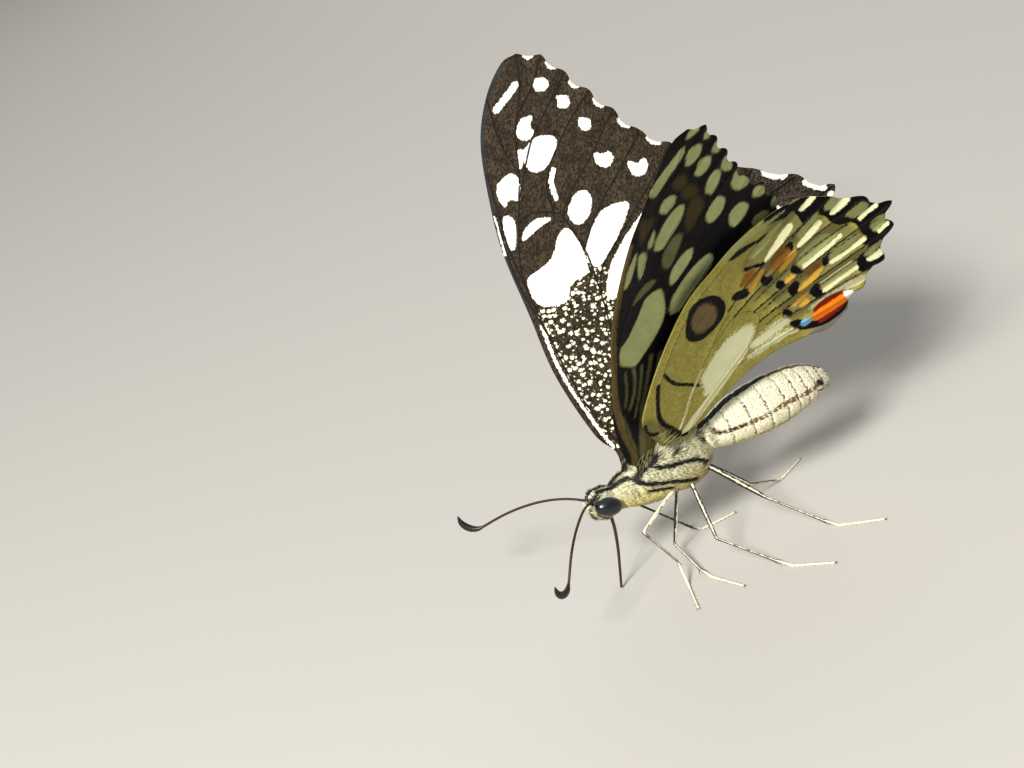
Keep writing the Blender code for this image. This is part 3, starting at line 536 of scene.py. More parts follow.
FOREWING_UNDER = {
    "ochre": patches(
        (39.9, -1.3, 40.6, -0.7, 40.2, 0.5, 38.9, 0.9, 38.5, -0.1),
        (38, 0.3, 38.6, 1.3, 37.5, 2.7, 36.4, 2.7, 36.8, 1.2),
        (33.8, 1.8, 36.1, 1.7, 36.3, 2.9, 34.4, 4.3, 32.8, 3.6, 31.8, 2.5),
        (35.6, -5.6, 38.8, -6.4, 38.1, -5, 36.9, -3.2, 36.1, -3.8, 35.3, -4.9)),
    "costa": patches(
        (1.2, 0.7, 2.6, -0.3, 5, -0.9, 9.2, -1.3, 9.6, 0, 7.6, 1.2, 4, 1.9, 1.2, 1.7)) + stripes(
        (0.45, -1, -1.2, 3.4, -1.9, 7.6, -3.7, 11.6, -5.1, 15.3, -6, 18.6, -6.5, 21.8, -7, 25.2, -7.5, 31,
         -7.5, 36, -7.2)),
    "pale": patches(
        (45.3, -0.7, 45.9, -0.3, 45.8, 0.7, 45.4, 1.2, 45.1, 0.6, 45, -0.1),
        (43.8, 2.1, 44.5, 2.2, 44.6, 2.6, 44, 3.1, 43.4, 3),
        (41.2, 3.9, 42.1, 3.9, 42.3, 4.4, 41.2, 5.1, 40.6, 5),
        (38.3, 5.8, 39.2, 5.9, 39.4, 6.5, 37.9, 7.5, 37.1, 7.4, 37.5, 6.5),
        (35.6, 8.2, 36.4, 8.4, 36.1, 9.2, 34.9, 9.8, 34.5, 9.2),
        (41.7, -5.6, 42.5, -4.6, 43.1, -2.5, 44.3, -1.1, 44.2, -0.6, 43.2, -0.5, 42, -1.5, 40.6, -2.8, 40.3,
         -4.1),
        (42.1, 0, 43.3, 0.2, 43.6, 1.2, 43, 2, 41.9, 2, 41.2, 1.1, 41.4, 0.4),
        (39.7, 1.8, 41, 2.1, 41.2, 3, 40.5, 3.9, 39.4, 3.9, 38.8, 3, 39.2, 2.2),
        (36.2, 4.1, 37.7, 4.1, 38.4, 4.9, 37.8, 5.8, 36.6, 6, 35.3, 5.3, 35.6, 4.6),
        (34.9, 8, 35.8, 8.3, 35.5, 9.5, 34.1, 11, 33.4, 10.8, 33.4, 9.5, 34, 8.7),
        (31.5, 11.9, 32.2, 12.2, 32, 13.1, 30.9, 14.4, 30.5, 13.8, 30.8, 12.6),
        (28.4, 15.4, 29.1, 15.9, 28.3, 17.2, 27.4, 17.2, 27.6, 16),
        (37.4, -2.5, 38.4, -2.1, 38.5, -1.2, 38, -0.4, 37, -0.5, 36.5, -1.6),
        (32.4, -2.3, 34, -2, 35.8, -0.9, 36.4, 0.4, 35.9, 1.2, 34.3, 1, 32.9, 0, 31.7, -1.2),
        (33.7, -3.8, 35, -3.3, 35, -2.7, 33, -2.7),
        (26.3, 0.8, 27.9, 1, 29.1, 2.3, 29.1, 3.6, 27.8, 3.7, 26.6, 2.7, 25.6, 1.4),
        (21.4, 1.6, 23.4, 1.4, 24.9, 2.5, 26.2, 4.1, 26.8, 6.1, 26, 7.1, 24.7, 7.1, 23.2, 5.8, 21.3, 3.6),
        (32.5, 4.9, 33.7, 5.2, 34.4, 6.2, 33.3, 7.5, 31.9, 7.4, 31.1, 6.3, 31.4, 5.5),
        (30.1, 8.7, 31.1, 9, 31.4, 10.2, 30.4, 11.5, 29.2, 11.4, 28.4, 10.2, 28.8, 9.3),
        (27.4, 12.7, 28, 13.1, 28, 14.3, 27.3, 15.3, 26.9, 14.6, 26.5, 13.5),
        (17.5, 2.4, 19.6, 2.6, 22.2, 5.8, 24.8, 9.6, 26.5, 12.2, 26.7, 15, 25.9, 15.2, 23, 12, 19.4, 7),
        (30.2, -4.5, 33.6, -5.4, 33.4, -4.3, 32.1, -3.5, 30.1, -3.8),
        (30.4, -6.9, 32.6, -6.9, 34.4, -6.3, 34.3, -5.8, 31.4, -6),
        (18.2, -4.7, 19.3, -5.7, 21.5, -5.9, 22.3, -4.8, 24.4, -3.4, 26, -2.6, 26.1, -0.6, 24.4, 0.3, 21.9,
         0.7, 19.9, -0.1, 18.4, -1.5, 17.2, -3)),
    "dim": patches(
        (29.2, -0.6, 30.9, -0.8, 32.3, 0.2, 32.4, 1.1, 31.8, 1.8, 30.3, 1.4, 28.4, 0.5),
        (26.8, -4.9, 27.9, -4, 28.3, -2.2, 27.6, -1.4, 26.9, -2.6)) + stripes(
        (0.22, 17, -3.3, 15.1, -2.9, 13, -2.8, 11, -3.2),
        (0.2, 16.4, -2, 14.3, -1.9, 11.6, -2, 9.3, -2.3),
        (0.3, 17, -0.7, 15, -0.8, 12.8, -1, 9.9, -1.3), (0.14, 17.2, -4.6, 14.1, -4, 11.8, -4),
        (0.3, 16.6, 0.6, 11, 0.4, 6, 0), (0.45, 10.4, -1.2, 6, -0.9, 2, -0.4),
        (0.14, 10.6, -4.3, 7.8, -3.2, 5.1, -2.2, 2.6, -1.3)),
}
HINDWING_UNDER = {
    # Painted shade over the zone between the pale bars and the black band; the second patch darkens the root
    # to olive-brown.
    "shade": patches(
        (17.2, -12, 20.5, -12.9, 23.4, -12.8, 25.6, -11, 25.9, -8, 27.4, -4.5, 28.4, -0.5, 27, 3.2, 24.5, 4.2,
         21.5, 3.6, 20, 2.4, 17, 0.9, 16.4, -1.4, 16.9, -4, 16.6, -8),
        (-3.4, -9.5, -1, -9.5, -0.4, -5, -0.4, -1, -3, -0.5)),
    # Painted shadow: thin dark lines along the creases of the pleats.
    "fold": stripes(
        (0.13, 13, -9.6, 16.5, -9.9, 22.5, -9.1, 28.4, -8.1),
        (0.13, 12.9, -8, 16, -7.6, 22, -6.7, 30.9, -3.6),
        (0.13, 14.6, -5.5, 16, -5.1, 24, -2.5, 32.4, 0.5),
        (0.13, 14.2, -3.5, 16, -2.9, 23, 0.1, 31, 3.4), (0.13, 14.6, -1.2, 20.5, 2, 27.7, 6.2),
        (0.13, 14, 1.1, 16, 2.3, 24, 6.7),
        (0.1, 16.5, -8.6, 18.5, -8.1, 23, -8.5, 27, -8.4),
        (0.1, 15.6, -6.6, 18, -5.9, 23.6, -4.4, 29.5, -1.9),
        (0.1, 15.5, -4.3, 18, -3.6, 24.4, -1.8, 30.6, 0.8),
        (0.1, 14.4, -2.2, 17, -1.2, 22.6, 1.3, 28, 3.3)),
    "black": patches(
        (22, -14.4, 23.1, -12.7, 24, -11.7, 25.1, -11.2, 24.9, -8.6, 26.3, -7.9, 26.9, -6.6, 26.9, -5, 27.5,
         -3.3, 28.5, -2, 28.3, 0.5, 28.4, 1.4, 27.4, 1.4, 28, 2.5, 25.9, 2.8, 25.5, 3.8, 25.2, 4.4, 26, 5.6,
         26.8, 7.5, 31, 9, 36, 5, 36, -4, 31, -12, 25.5, -16.5),
        (10.7, -16.2, 12.5, -15.5, 13.6, -13.2, 13.4, -10.9, 12.2, -9.7, 10.1, -9.8, 8.6, -11, 8.3, -13.4),
        (17.1, -15.8, 18.5, -15.3, 20.5, -13.3, 20.5, -12.9, 18.6, -14, 17.2, -15.2),
        (14.4, -10.8, 15.3, -10.4, 16.1, -9.2, 15.9, -8.3, 15.1, -8.5, 14.2, -10),
        (17.8, -8.3, 18.3, -7.8, 18.7, -6.7, 18.2, -6.3, 17.5, -6.6, 17.3, -7.5),
        (18.7, -5.4, 19.1, -4.7, 18.8, -4, 18.2, -4.2, 18.1, -5.1),
        (18.9, -3.3, 19.8, -3.2, 20.1, -2.4, 19.5, -1.8, 18.7, -1.7, 18.4, -2.4),
        (20.5, -5, 21.1, -4.9, 21.2, -3.7, 20.6, -3.7, 20.3, -4.5),
        (23.3, -1.9, 24.1, -2, 24.8, -2.1, 24.4, -1.2, 23.9, -0.6, 23.1, -0.8),
        (20.1, 0, 21.2, -0.2, 21.3, 0.9, 21.1, 2.1, 20.2, 2.3, 19.9, 1),
        (16.8, -1.4, 17.2, -0.7, 17.1, 0.2, 16.3, 0.4, 16.1, -0.8),
        (21.9, -8.5, 22.7, -8.2, 22.4, -7.2, 21.8, -7.2, 21.5, -8),
        (16.1, 1, 16.9, 1.6, 17.2, 2.3, 18.2, 4.3, 19, 4.9, 21.8, 6.2, 21.7, 7, 20, 6.8, 18.4, 5.9, 17, 4.5,
         16, 2.6)) + stripes(
        (0.3, 2.6, -12, 1.4, -10.4, 0.3, -8.7, -0.3, -7.2, -0.5, -6, -0.5, -4.2, -0.5, -2.6),
        (0.42, -0.9, -4.4, -0.6, -3, -0.6, -1.4, -0.3, 0.2),
        (0.22, 3.9, -12.4, 3.7, -10.4, 3.9, -8.7, 4.5, -6.8, 5, -5.1, 6.2, -3.8, 8.1, -2.5),
        (0.26, -1.7, -9, -2.1, -8.3, -2.2, -6.9, -1.7, -6), (0.24, 17.4, -11.6, 18.1, -10.8, 19.2, -9.7),
        (0.2, 0.6, 0.3, 4.6, 1, 8.6, 1.7, 12, 3)) + ovals(
        (20.9, -12.7, 0.9, 0.35, 25)),
    "green": patches(
        (25.6, -13.4, 25.4, -12.6, 26.8, -11.4, 27.2, -11.8, 26.6, -12.6),
        (27.7, -7.8, 27.4, -7.1, 28, -6.2, 29.4, -5.6, 29.6, -6.4, 29, -7.7),
        (28.5, -4.1, 28.6, -3.2, 29.1, -2, 30.5, -1.7, 31, -2.2, 30.5, -3.7, 29.2, -4.2),
        (29.7, 0.2, 29.4, 1.1, 29.7, 2.1, 30.9, 2.2, 31.5, 1.7, 31, 0.5),
        (26.9, 3.3, 27.2, 2.8, 29.2, 3.7, 29.3, 4.4, 27.2, 4.3),
        (23.7, -8.3, 23.6, -7.3, 25.2, -7.3, 26.4, -7.4, 26.7, -8.3, 25.3, -8.7),
        (21.5, -4.7, 21.9, -5.4, 23.6, -5.4, 25.4, -4.9, 26, -3.6, 26.6, -2.7, 24.1, -3.3, 21.6, -3.9),
        (24.2, -1.5, 24.9, -2, 26.9, -1.3, 28.1, -0.5, 28, 0.6, 26.2, 0.1, 24.1, -0.6),
        (21.4, 0.9, 23.2, 1.5, 25.5, 2.6, 25.5, 3.4, 23.3, 2.5, 21.3, 1.8),
        (16.4, -16.6, 17.6, -16.8, 19.9, -16.1, 22.9, -13.9, 24.5, -12.9, 24, -12.9, 21.4, -14, 18.5, -15.5),
        (18.5, -12.4, 20.3, -12.5, 22.6, -12.1, 23.6, -11.7, 22.5, -11.1, 20.4, -11.2, 18.7, -11.6)),
    "pale": patches(
        (5, -4, 5.6, -5.4, 7.8, -6.2, 10, -6.4, 11.8, -5.8, 13.4, -4.4, 13.1, -3.2, 12.2, -2.5, 10.6, -2, 9.2,
         -1.6, 6.4, -1.6, 4.4, -2.4),
        (11.6, -1.9, 12.7, -2, 16, -0.7, 16.3, 0.8, 15, 0.6, 11.8, -0.9),
        (10.6, -0.9, 14.9, 1, 15.9, 2.3, 14.4, 1.6, 11, 0)) + stripes(
        (0.28, 19, 2.2, 21.4, 3.3, 23.4, 4.3, 24.9, 5.4)),
    # Cream bars and root ridges, painted paler as a highlight where the facets of the pleats catch the light.
    "bright": patches(
        (25.6, -10.5, 25.7, -9.9, 26.8, -9.6, 27.8, -9.6, 27.7, -10.1, 26.7, -10.4),
        (27.5, -6.2, 27.8, -5.5, 29.9, -4.9, 30, -5.6, 28.7, -6.2),
        (26.7, 4.1, 26.9, 4.9, 28.6, 5.8, 28.9, 5, 27.7, 4.5),
        (22.7, 4.4, 22.8, 4.9, 24, 5.9, 25.8, 6.9, 26, 6, 24.3, 5.1),
        (19.4, -10, 19.5, -9.4, 21.2, -9.4, 23.5, -9.5, 24.1, -9.9, 23.6, -10.4, 21.2, -10.3),
        (22.8, -7, 22.9, -6.4, 24.4, -6.2, 26.2, -6.1, 26.3, -6.7, 26, -7, 24.4, -7),
        (23.9, -0.7, 23.9, -0.1, 26.2, 0.9, 28.1, 1.6, 28.3, 1.2, 28.1, 0.9, 25.9, 0.3),
        (-0.3, -1.8, 0, -0.9, 1.8, -0.7, 5.5, -0.9, 8.6, -1.3, 10.8, -1.6, 11.4, -2.4, 9.7, -3, 5.6, -2.2, 2,
         -2.1)) + stripes(
        (0.27, 29.3, -1.6, 30.3, -1.4, 31.5, -0.9), (0.25, 29.8, 2.3, 31, 2.6),
        (0.24, 21.6, -3.7, 24.2, -2.9, 26.6, -2.3), (0.15, 21.5, 0.6, 23.4, 1.3, 25.4, 2.2),
        (0.26, 21.2, 1.9, 23.3, 2.8, 25.3, 3.7),
        (0.19, 0, -2.7, 1.4, -3.4, 3.2, -4.8, 5.4, -6.1, 6.5, -6.6), (0.24, 13.8, 1.4, 15.1, 2, 16, 2.9),
        (0.2, 16, 5.2, 17.2, 6.4, 18.6, 7.5)),
    "ochre": patches(
        (20.2, -9.3, 21.3, -9.2, 21.7, -8.4, 22, -7.3, 20.5, -7.1, 19.4, -7.1, 19.1, -8.2),
        (15.9, -10.9, 17, -11.1, 18.1, -10.6, 17.7, -9.8, 16.8, -9.6, 15.8, -10.3),
        (21.3, -2.8, 22.5, -2.5, 23.2, -1.9, 22.6, -1.3, 21.2, -1.8)),
    "smoke": patches(
        (9.9, -14.5, 11.6, -15, 12.4, -13.8, 12.4, -11.7, 11.5, -10.6, 10.1, -10.9, 9.3, -12.2)),
    "yellow": patches(
        (16.1, -9, 17.4, -9.2, 18.5, -9.3, 18.6, -8.7, 17.4, -8.3, 16.1, -8.3),
        (19.6, -6.7, 20.6, -7, 22.2, -6.9, 22.2, -6.2, 21, -5.9, 19.7, -6),
        (19.1, -4.5, 20, -4.5, 20.3, -3.8, 19.3, -3.7),
        (19.4, -1.8, 20.9, -1.6, 22.7, -1.2, 22.8, -0.8, 20.9, -0.8, 19.5, -1.2),
        (17.4, -0.7, 18.7, -0.6, 19.8, -0.2, 19.8, 0.2, 18.8, 0.1, 17.8, -0.2),
        (18.1, 0.4, 18.9, 0.3, 19.4, 0.9, 18.5, 1.1)),
    "red": patches(
        (18.6, 3, 19.8, 2.7, 21.1, 3.2, 22.4, 4.4, 22.3, 5, 20.9, 4.5, 19.6, 3.9),
        (18.2, 4.8, 19.7, 5.3, 21.6, 6.1, 21.5, 6.5, 20.1, 6.1, 18.6, 5.5)),
    "orange": patches(
        (18.1, 3.2, 18.1, 4.4, 19.8, 5.4, 22.1, 6.3, 22.4, 5.7, 22.3, 4.9, 20.7, 4.1, 19.4, 3.5)),
    "blue": patches((16.7, 2.5, 17.1, 2.4, 17.9, 3, 17.9, 3.8, 16.9, 3.5, 16.7, 3)),
    "white": patches((22.3, 4.8, 22.9, 5.2, 23.3, 6.2, 22.9, 6.8, 22.2, 6.2)),
    "rim": patches((17.2, 4.9, 18.4, 6, 19.8, 6.75, 21.3, 7.1, 22, 7.4, 21, 8.6, 18.7, 8.2, 16.6, 5.6)),
}
HINDWING_UPPER = {
    "pale": patches(
        (1.5, -6.5, 3.5, -11, 8, -13.6, 9.2, -10.4, 13.2, -9.3, 17, -9, 18.2, -4, 16.2, 0.3, 10, -0.7, 4,
         -2.4),
        (14.6, -14.8, 17.6, -14.6, 16.8, -12.4, 14.6, -12.6)) + edge_lunules(
        HINDWING["tips"], HINDWING["notch"], 0.45, 0.2) + ovals(
        (20.9, -12.7, 1.15, 0.8, 20), (24.6, -8.2, 1.15, 0.8, 10), (25.9, -3.2, 1.15, 0.8, 20),
        (27.6, -0.4, 1.15, 0.8, 25), (26.6, 2, 1.15, 0.8, 35), (24.3, 3.4, 1.15, 0.8, 40)),
    "speck": patches(
        (-3, -0.5, -2, -9, 2, -12.5, 3.5, -6, 3, -1.5, 12, 0.5, 19, 6.5, 9, 1.4)) + stripes(
        (0.9, 17.5, -12, 19.5, -6, 19.6, -1, 18, 2)),
    "red": ovals((20, 4.9, 1.9, 1.1, 45)),
    "blue": stripes((0.32, 17.6, 2.2, 18.9, 2.3, 20, 3.2), (0.3, 9.2, -11.6, 9.8, -10.4)),
    "ring": ovals((11, -12.8, 2.6, 2, 75)),
    "ochre": ovals((11.4, -14.2, 1.3, 1, 75)),
}

# The scales that cover the wings: flat plates of chitin, set in rows like tiles. Each finish is a ground
# colour and, over it, the marks, whose edges are ragged because they run round whole scales.
SCALE_LENGTH = 0.2
SCALE_WIDTH = 0.13
SPECK_GAP = (0.48, 0.62)


def cells(tree, place, gap):
    """Plates or spots in rows, a gap in millimetres apart: rows, tones and distances from the middle."""
    rows = add_node(tree, "VectorMath", {"operation": "MULTIPLY"},
                    {0: place, 1: (1 / gap[0], 1 / gap[1], 1.0)}).outputs["Vector"]
    plates = add_node(tree, "TexVoronoi", {"voronoi_dimensions": "2D"}, {"Vector": rows, "Scale": 1.0})
    tones = add_node(tree, "SeparateColor", inputs={"Color": plates.outputs["Color"]}).outputs
    return rows, tones, plates.outputs["Distance"]


def scale_finish(name, ground, ground_light, marks, vein_colour, vein_width, vein_strength=1.0, pleat=0.0):
    """Wing scales: small overlapping plates in rows, matt and slightly silky. Marks are (attribute,
    colour, second colour, softness, raggedness); the mark speck is broken up into small spots."""
    material, tree, shader = new_material(name)
    place = stored(tree, "wing_place", "Vector")
    rows, tones, dome = cells(tree, place, (SCALE_LENGTH, SCALE_WIDTH))
    tone = tones["Red"]
    cloud = add_node(tree, "TexNoise", {"noise_dimensions": "2D"},
                     {"Vector": place, "Scale": 0.55, "Detail": 5.0, "Roughness": 0.65}).outputs["Fac"]
    ragged = compute(tree, "SUBTRACT", tone, 0.5)
    spread = ranged(tree, compute(tree, "MULTIPLY", tone, cloud), 0.12, 0.5)
    colour = mixed(tree, spread, ground, ground_light)
    for attribute, first, second, soft, roughness in marks:
        depth = stored(tree, attribute)
        if attribute == "speck":
            _, sizes, apart = cells(tree, place, SPECK_GAP)
            size = ranged(tree, sizes["Green"], 0, 1, -0.08, 0.5)
            inside = compute(tree, "MULTIPLY", compute(tree, "SUBTRACT", size, apart), 0.6)
            depth = compute(tree, "MINIMUM", depth, inside)
        colour = marked(tree, colour, mixed(tree, cloud, first, second), depth, ragged, roughness, soft)
    # Painted light: the colour is darkened on the front facet of each pleat as painted shade and lightened on
    # the rear one as painted highlight.
    if pleat:
        colour = brightened(tree, colour, ranged(tree, stored(tree, "pleat"), 0, 1, 1 - pleat, 1 + pleat))
    wavy = compute(tree, "MULTIPLY_ADD", ragged, 0.06, stored(tree, "vein"))
    on_vein = ranged(tree, wavy, vein_width, vein_width + 0.08, vein_strength, 0, "SMOOTHSTEP")
    tree.links.new(mixed(tree, on_vein, colour, vein_colour), shader.inputs["Base Color"])
    grain = add_node(tree, "TexNoise", {"noise_dimensions": "2D"},
                     {"Vector": rows, "Scale": 0.9, "Detail": 2.0})
    add_relief(tree, shader, compute(tree, "ADD", dome, grain.outputs["Fac"]), 0.35, 0.00005)
    tree.links.new(ranged(tree, tone, 0, 1, 0.5, 0.75), shader.inputs["Roughness"])
    shader.inputs["Specular IOR Level"].default_value = 0.06
    return material


# Brown-black with a fine brown grain, and marks that look white in the light.
forewing_upper_finish = scale_finish(
    "black_brown_wing_scales", "#1e1810", "#463b2a",
    (("blue", "#1b1b1f", "#36363d", 0.2, 0.15),
     ("speck", "#efe6bf", "#f8f2d4", 0.05, 0.16), ("pale", "#fbf6dc", "#fffcea", 0.05, 0.14)),
    "#1d1713", 0.07)
# Velvet black with grey-green spots that stay dim in the shade of the wing.
forewing_under_finish = scale_finish(
    "black_and_green_wing_scales", "#040306", "#0e0b0d",
    (("ochre", "#2f2610", "#483a19", 0.35, 0.35), ("costa", "#45381a", "#6d5c34", 0.15, 0.2),
     ("dim", "#504f30", "#716f49", 0.25, 0.2), ("pale", "#8b8e55", "#b9be88", 0.22, 0.15)),
    "#0a0809", 0.06, 0.35)
# Olive with cream bars between black ones, and one bright orange and blue eyespot at the hind corner.
# Painted light on the pleats: shade on each front facet and along the creases, highlight on each rear facet
# and on the cream bars.
hindwing_under_finish = scale_finish(
    "olive_wing_scales", "#8f863b", "#b0a65a",
    (("shade", "#676233", "#857f4b", 0.5, 0.6), ("black", "#030205", "#0b090e", 0.08, 0.15),
     ("green", "#888b55", "#a8ab70", 0.15, 0.25), ("fold", "#0c0906", "#2a2210", 0.05, 0.22),
     ("pale", "#d7d9a2", "#efeec6", 0.3, 0.45), ("bright", "#cfcb92", "#eae7bd", 0.08, 0.12),
     ("rim", "#6f6b64", "#a09b92", 0.1, 0.15), ("ochre", "#684214", "#8b5f24", 0.2, 0.35),
     ("smoke", "#4e3c22", "#83704c", 0.25, 0.35), ("yellow", "#bd8526", "#dcab48", 0.12, 0.2),
     ("red", "#6a1003", "#8c1f08", 0.12, 0.15), ("orange", "#f2700c", "#ff8c1a", 0.08, 0.15),
     ("blue", "#5b9ccc", "#9ccbea", 0.1, 0.15), ("white", "#f8f6e6", "#fffff8", 0.08, 0.15)),
    "#2c2816", 0.04, 0.4, 0.12)
# Dark brown with a broad cream band, a brick-red spot and two blue marks.
hindwing_upper_finish = scale_finish(
    "dark_hindwing_scales", "#1f1a15", "#4a4237",
    (("speck", "#ece4c6", "#f8f2d4", 0.06, 0.2), ("pale", "#fbf5d2", "#fffdec", 0.06, 0.2),
     ("ring", "#0d0b0d", "#1a1719", 0.1, 0.2), ("ochre", "#7b4a20", "#9a6a34", 0.2, 0.25),
     ("red", "#9c2c10", "#c2491d", 0.12, 0.25), ("blue", "#3f6f9a", "#7ba9cc", 0.12, 0.2)), "#171310", 0.08)


def mesh_piece(name, points, faces, materials, nodes=()):
    """A new piece from points in millimetres from the thorax and triangles. It rides on the one body."""
    mesh = bpy.data.meshes.new(name)
    mesh.vertices.add(len(points))
    mesh.vertices.foreach_set("co", in_frame(points).astype(np.float32).ravel())
    mesh.loops.add(3 * len(faces))
    mesh.loops.foreach_set("vertex_index", np.asarray(faces, np.int32).ravel())
    mesh.polygons.add(len(faces))
    mesh.polygons.foreach_set("loop_start", np.arange(0, 3 * len(faces), 3, dtype=np.int32))
    mesh.update(calc_edges=True)
    mesh.shade_smooth()
    for material in materials:
        mesh.materials.append(material)
    obj = bpy.data.objects.new(name, mesh)
    bpy.context.scene.collection.objects.link(obj)
    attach(obj, "root")
    if nodes:
        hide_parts(*nodes)
    return obj


def set_values(obj, name, values, kind="FLOAT"):
    """Stores a number or a vector for each point of a piece."""
    attribute = obj.data.attributes.new(name, kind, "POINT")
    key = "value" if kind == "FLOAT" else "vector"
    attribute.data.foreach_set(key, np.asarray(values, np.float32).ravel())


def set_unwrap(obj, places):
    """The OFBake map from a place for each point."""
    layer = obj.data.uv_layers.new(name="OFBake")
    index = np.empty(len(obj.data.loops), np.int32)
    obj.data.loops.foreach_get("vertex_index", index)
    layer.data.foreach_set("uv", np.asarray(places, np.float32)[index].ravel())


PLEAT_CREST = 0.66
PLEAT_WIDTH = 4.0
UNDER_SHIFT = 60.0
MAP_SHARE = 0.47


def make_wing_pair(word, wing, surface, upper_marks, under_marks, finishes, pleat_height, pleat_from):
    """Both wings of a pair, each a closed sheet with one finish above and one below."""
    flat, triangles, outline, lines = wing_net(wing)
    vein = np.min([distance_to_line(flat, line) for line in lines], axis=0)
    phase, width = across_cell(flat, wing["rays"])
    folded = (width < NO_CELL) * smoothstep(*pleat_from, flat[:, 0])
    rise = np.where(phase < PLEAT_CREST, phase / PLEAT_CREST, (1 - phase) / (1 - PLEAT_CREST))
    pleat = pleat_height * rise * np.clip(width / PLEAT_WIDTH, 0, 1.2) * folded
    edge = np.abs(depth_in_loop(flat, outline))
    ridge = VEIN_HEIGHT * np.clip(1 - vein / VEIN_HALF_WIDTH, 0, 1) ** 0.7
    half = WING_THICKNESS / 2 * smoothstep(-0.2, 1.2, edge) + 0.02
    layers = {name: np.concatenate([marks_depth(flat, upper_marks.get(name, ())),
                                    marks_depth(flat, under_marks.get(name, ()))])
              for name in sorted(set(upper_marks) | set(under_marks))}
    size = len(flat)
    upper_faces = triangles
    under_faces = triangles + size
    edges = np.vstack([triangles[:, [0, 1]], triangles[:, [1, 2]], triangles[:, [2, 0]]])
    keys = {(a, b) for a, b in edges.tolist()}
    rim = np.array([(a, b) for a, b in keys if (b, a) not in keys])
    rim_faces = np.vstack([np.stack([rim[:, 1], rim[:, 0], rim[:, 0] + size], 1),
                           np.stack([rim[:, 1], rim[:, 0] + size, rim[:, 1] + size], 1)])
    low = flat.min(0)
    room = (flat - low) / (flat - low).max()
    for side, name in ((LEFT, "left"), (RIGHT, "right")):
        top, outward = surface(side, flat, pleat - half - ridge)
        bottom, _ = surface(side, flat, pleat + half + ridge)
        a, b, c = top[upper_faces[0]]
        faces = np.vstack([upper_faces, under_faces[:, ::-1], rim_faces])
        if np.cross(b - a, c - a) @ outward > 0:
            faces = faces[:, ::-1]
        obj = mesh_piece(f"{word}_{name}_wing", np.vstack([top, bottom]), faces, finishes,
                         [f"{word}_{name}"])
        covering = np.zeros(len(faces), np.int32)
        covering[len(upper_faces):] = 1
        obj.data.polygons.foreach_set("material_index", covering)
        both_sides = np.vstack([flat, flat + UNDER_SHIFT])
        set_values(obj, "wing_place", np.column_stack([both_sides, np.zeros(2 * size)]), "FLOAT_VECTOR")
        set_values(obj, "vein", np.tile(vein, 2))
        # Which side of each pleat's crest a point lies on, for the painted shade and highlight of the pleats.
        lit_pleat_side = smoothstep(PLEAT_CREST - 0.04, PLEAT_CREST + 0.04, phase)
        set_values(obj, "pleat", np.tile(lit_pleat_side * folded, 2))
        for layer, depths in layers.items():
            set_values(obj, layer, depths)
        set_unwrap(obj, np.vstack([room * MAP_SHARE + 0.01, room * MAP_SHARE + (0.51, 0.01)]))


make_wing_pair("forewing", FOREWING, forewing_surface, FOREWING_UPPER, FOREWING_UNDER,
               (forewing_upper_finish, forewing_under_finish), -0.07, (26.0, 34.0))
make_wing_pair("hindwing", HINDWING, hindwing_surface, HINDWING_UPPER, HINDWING_UNDER,
               (hindwing_upper_finish, hindwing_under_finish), -0.36, (13.0, 19.0))


# Body: a shell of chitin in three parts, head, thorax and abdomen, under short hair and scales. The shell
# is one skin: rings extruded from front to back, with balls for the head, the palps and the long fore hips
# joined on and smoothed over, so that no seam shows under the coat.
THORAX = ((-4.7, 0, 1.45, 1.9), (-3, 0.55, 2.2, 2.6), (-0.5, 0.75, 2.6, 3.45), (2, 0.4, 2.6, 3.85),
          (4.2, 0.2, 2.15, 3.3), (5.2, 0.3, 1.6, 2.4), (5.9, 1, 1.25, 1.5))
NECK = ((-7.2, -0.5, 1.05, 1.5), (-5.9, -0.4, 1.3, 1.85), (-4.4, -0.15, 1.68, 2.17))
ABDOMEN = ((5, 1.3, 1.1, 1.25), (5.6, 1.4, 1.4, 1.5), (7, 1.35, 1.85, 1.95), (9.2, 1.55, 2.35, 2.7),
           (12, 1.6, 2.75, 3.15), (15, 1.7, 2.85, 3.2), (17.8, 1.8, 2.55, 2.8), (19.6, 1.75, 2.15, 2.3),
           (20.8, 1.6, 1.65, 1.7), (21.4, 1.5, 1.2, 1.25))
FORE_COXA = ((-2.5, 0.95, -1.85), (3.3, 0.68, 0.74), math.radians(10))
HEAD = ((-7.7, 0, -0.55), (1.65, 1.45, 2), 0)
BROW = ((-8.5, 0, 0.35), (0.95, 0.85, 1.2), 0)
EYE = ((-7.62, 1.42, -0.55), (1.6, 0.98, 1.06), math.radians(19))
PALP = ((-9.25, 0.42, -1), (0.5, 0.36, 1.25), math.radians(-22))
HAIR_DEPTH = 0.24
SCALE_DEPTH = 0.1
RING_SIDES = 36
SKIN_VOXEL = 0.16
SEGMENT_ENDS = (5.6, 8.3, 10.8, 13.0, 15.2, 16.8, 18.2, 19.5, 20.6)
SEGMENT_STEP = 0.12
SEGMENT_BOW = 0.1
BODY_AXIS_HEIGHT = 1.45


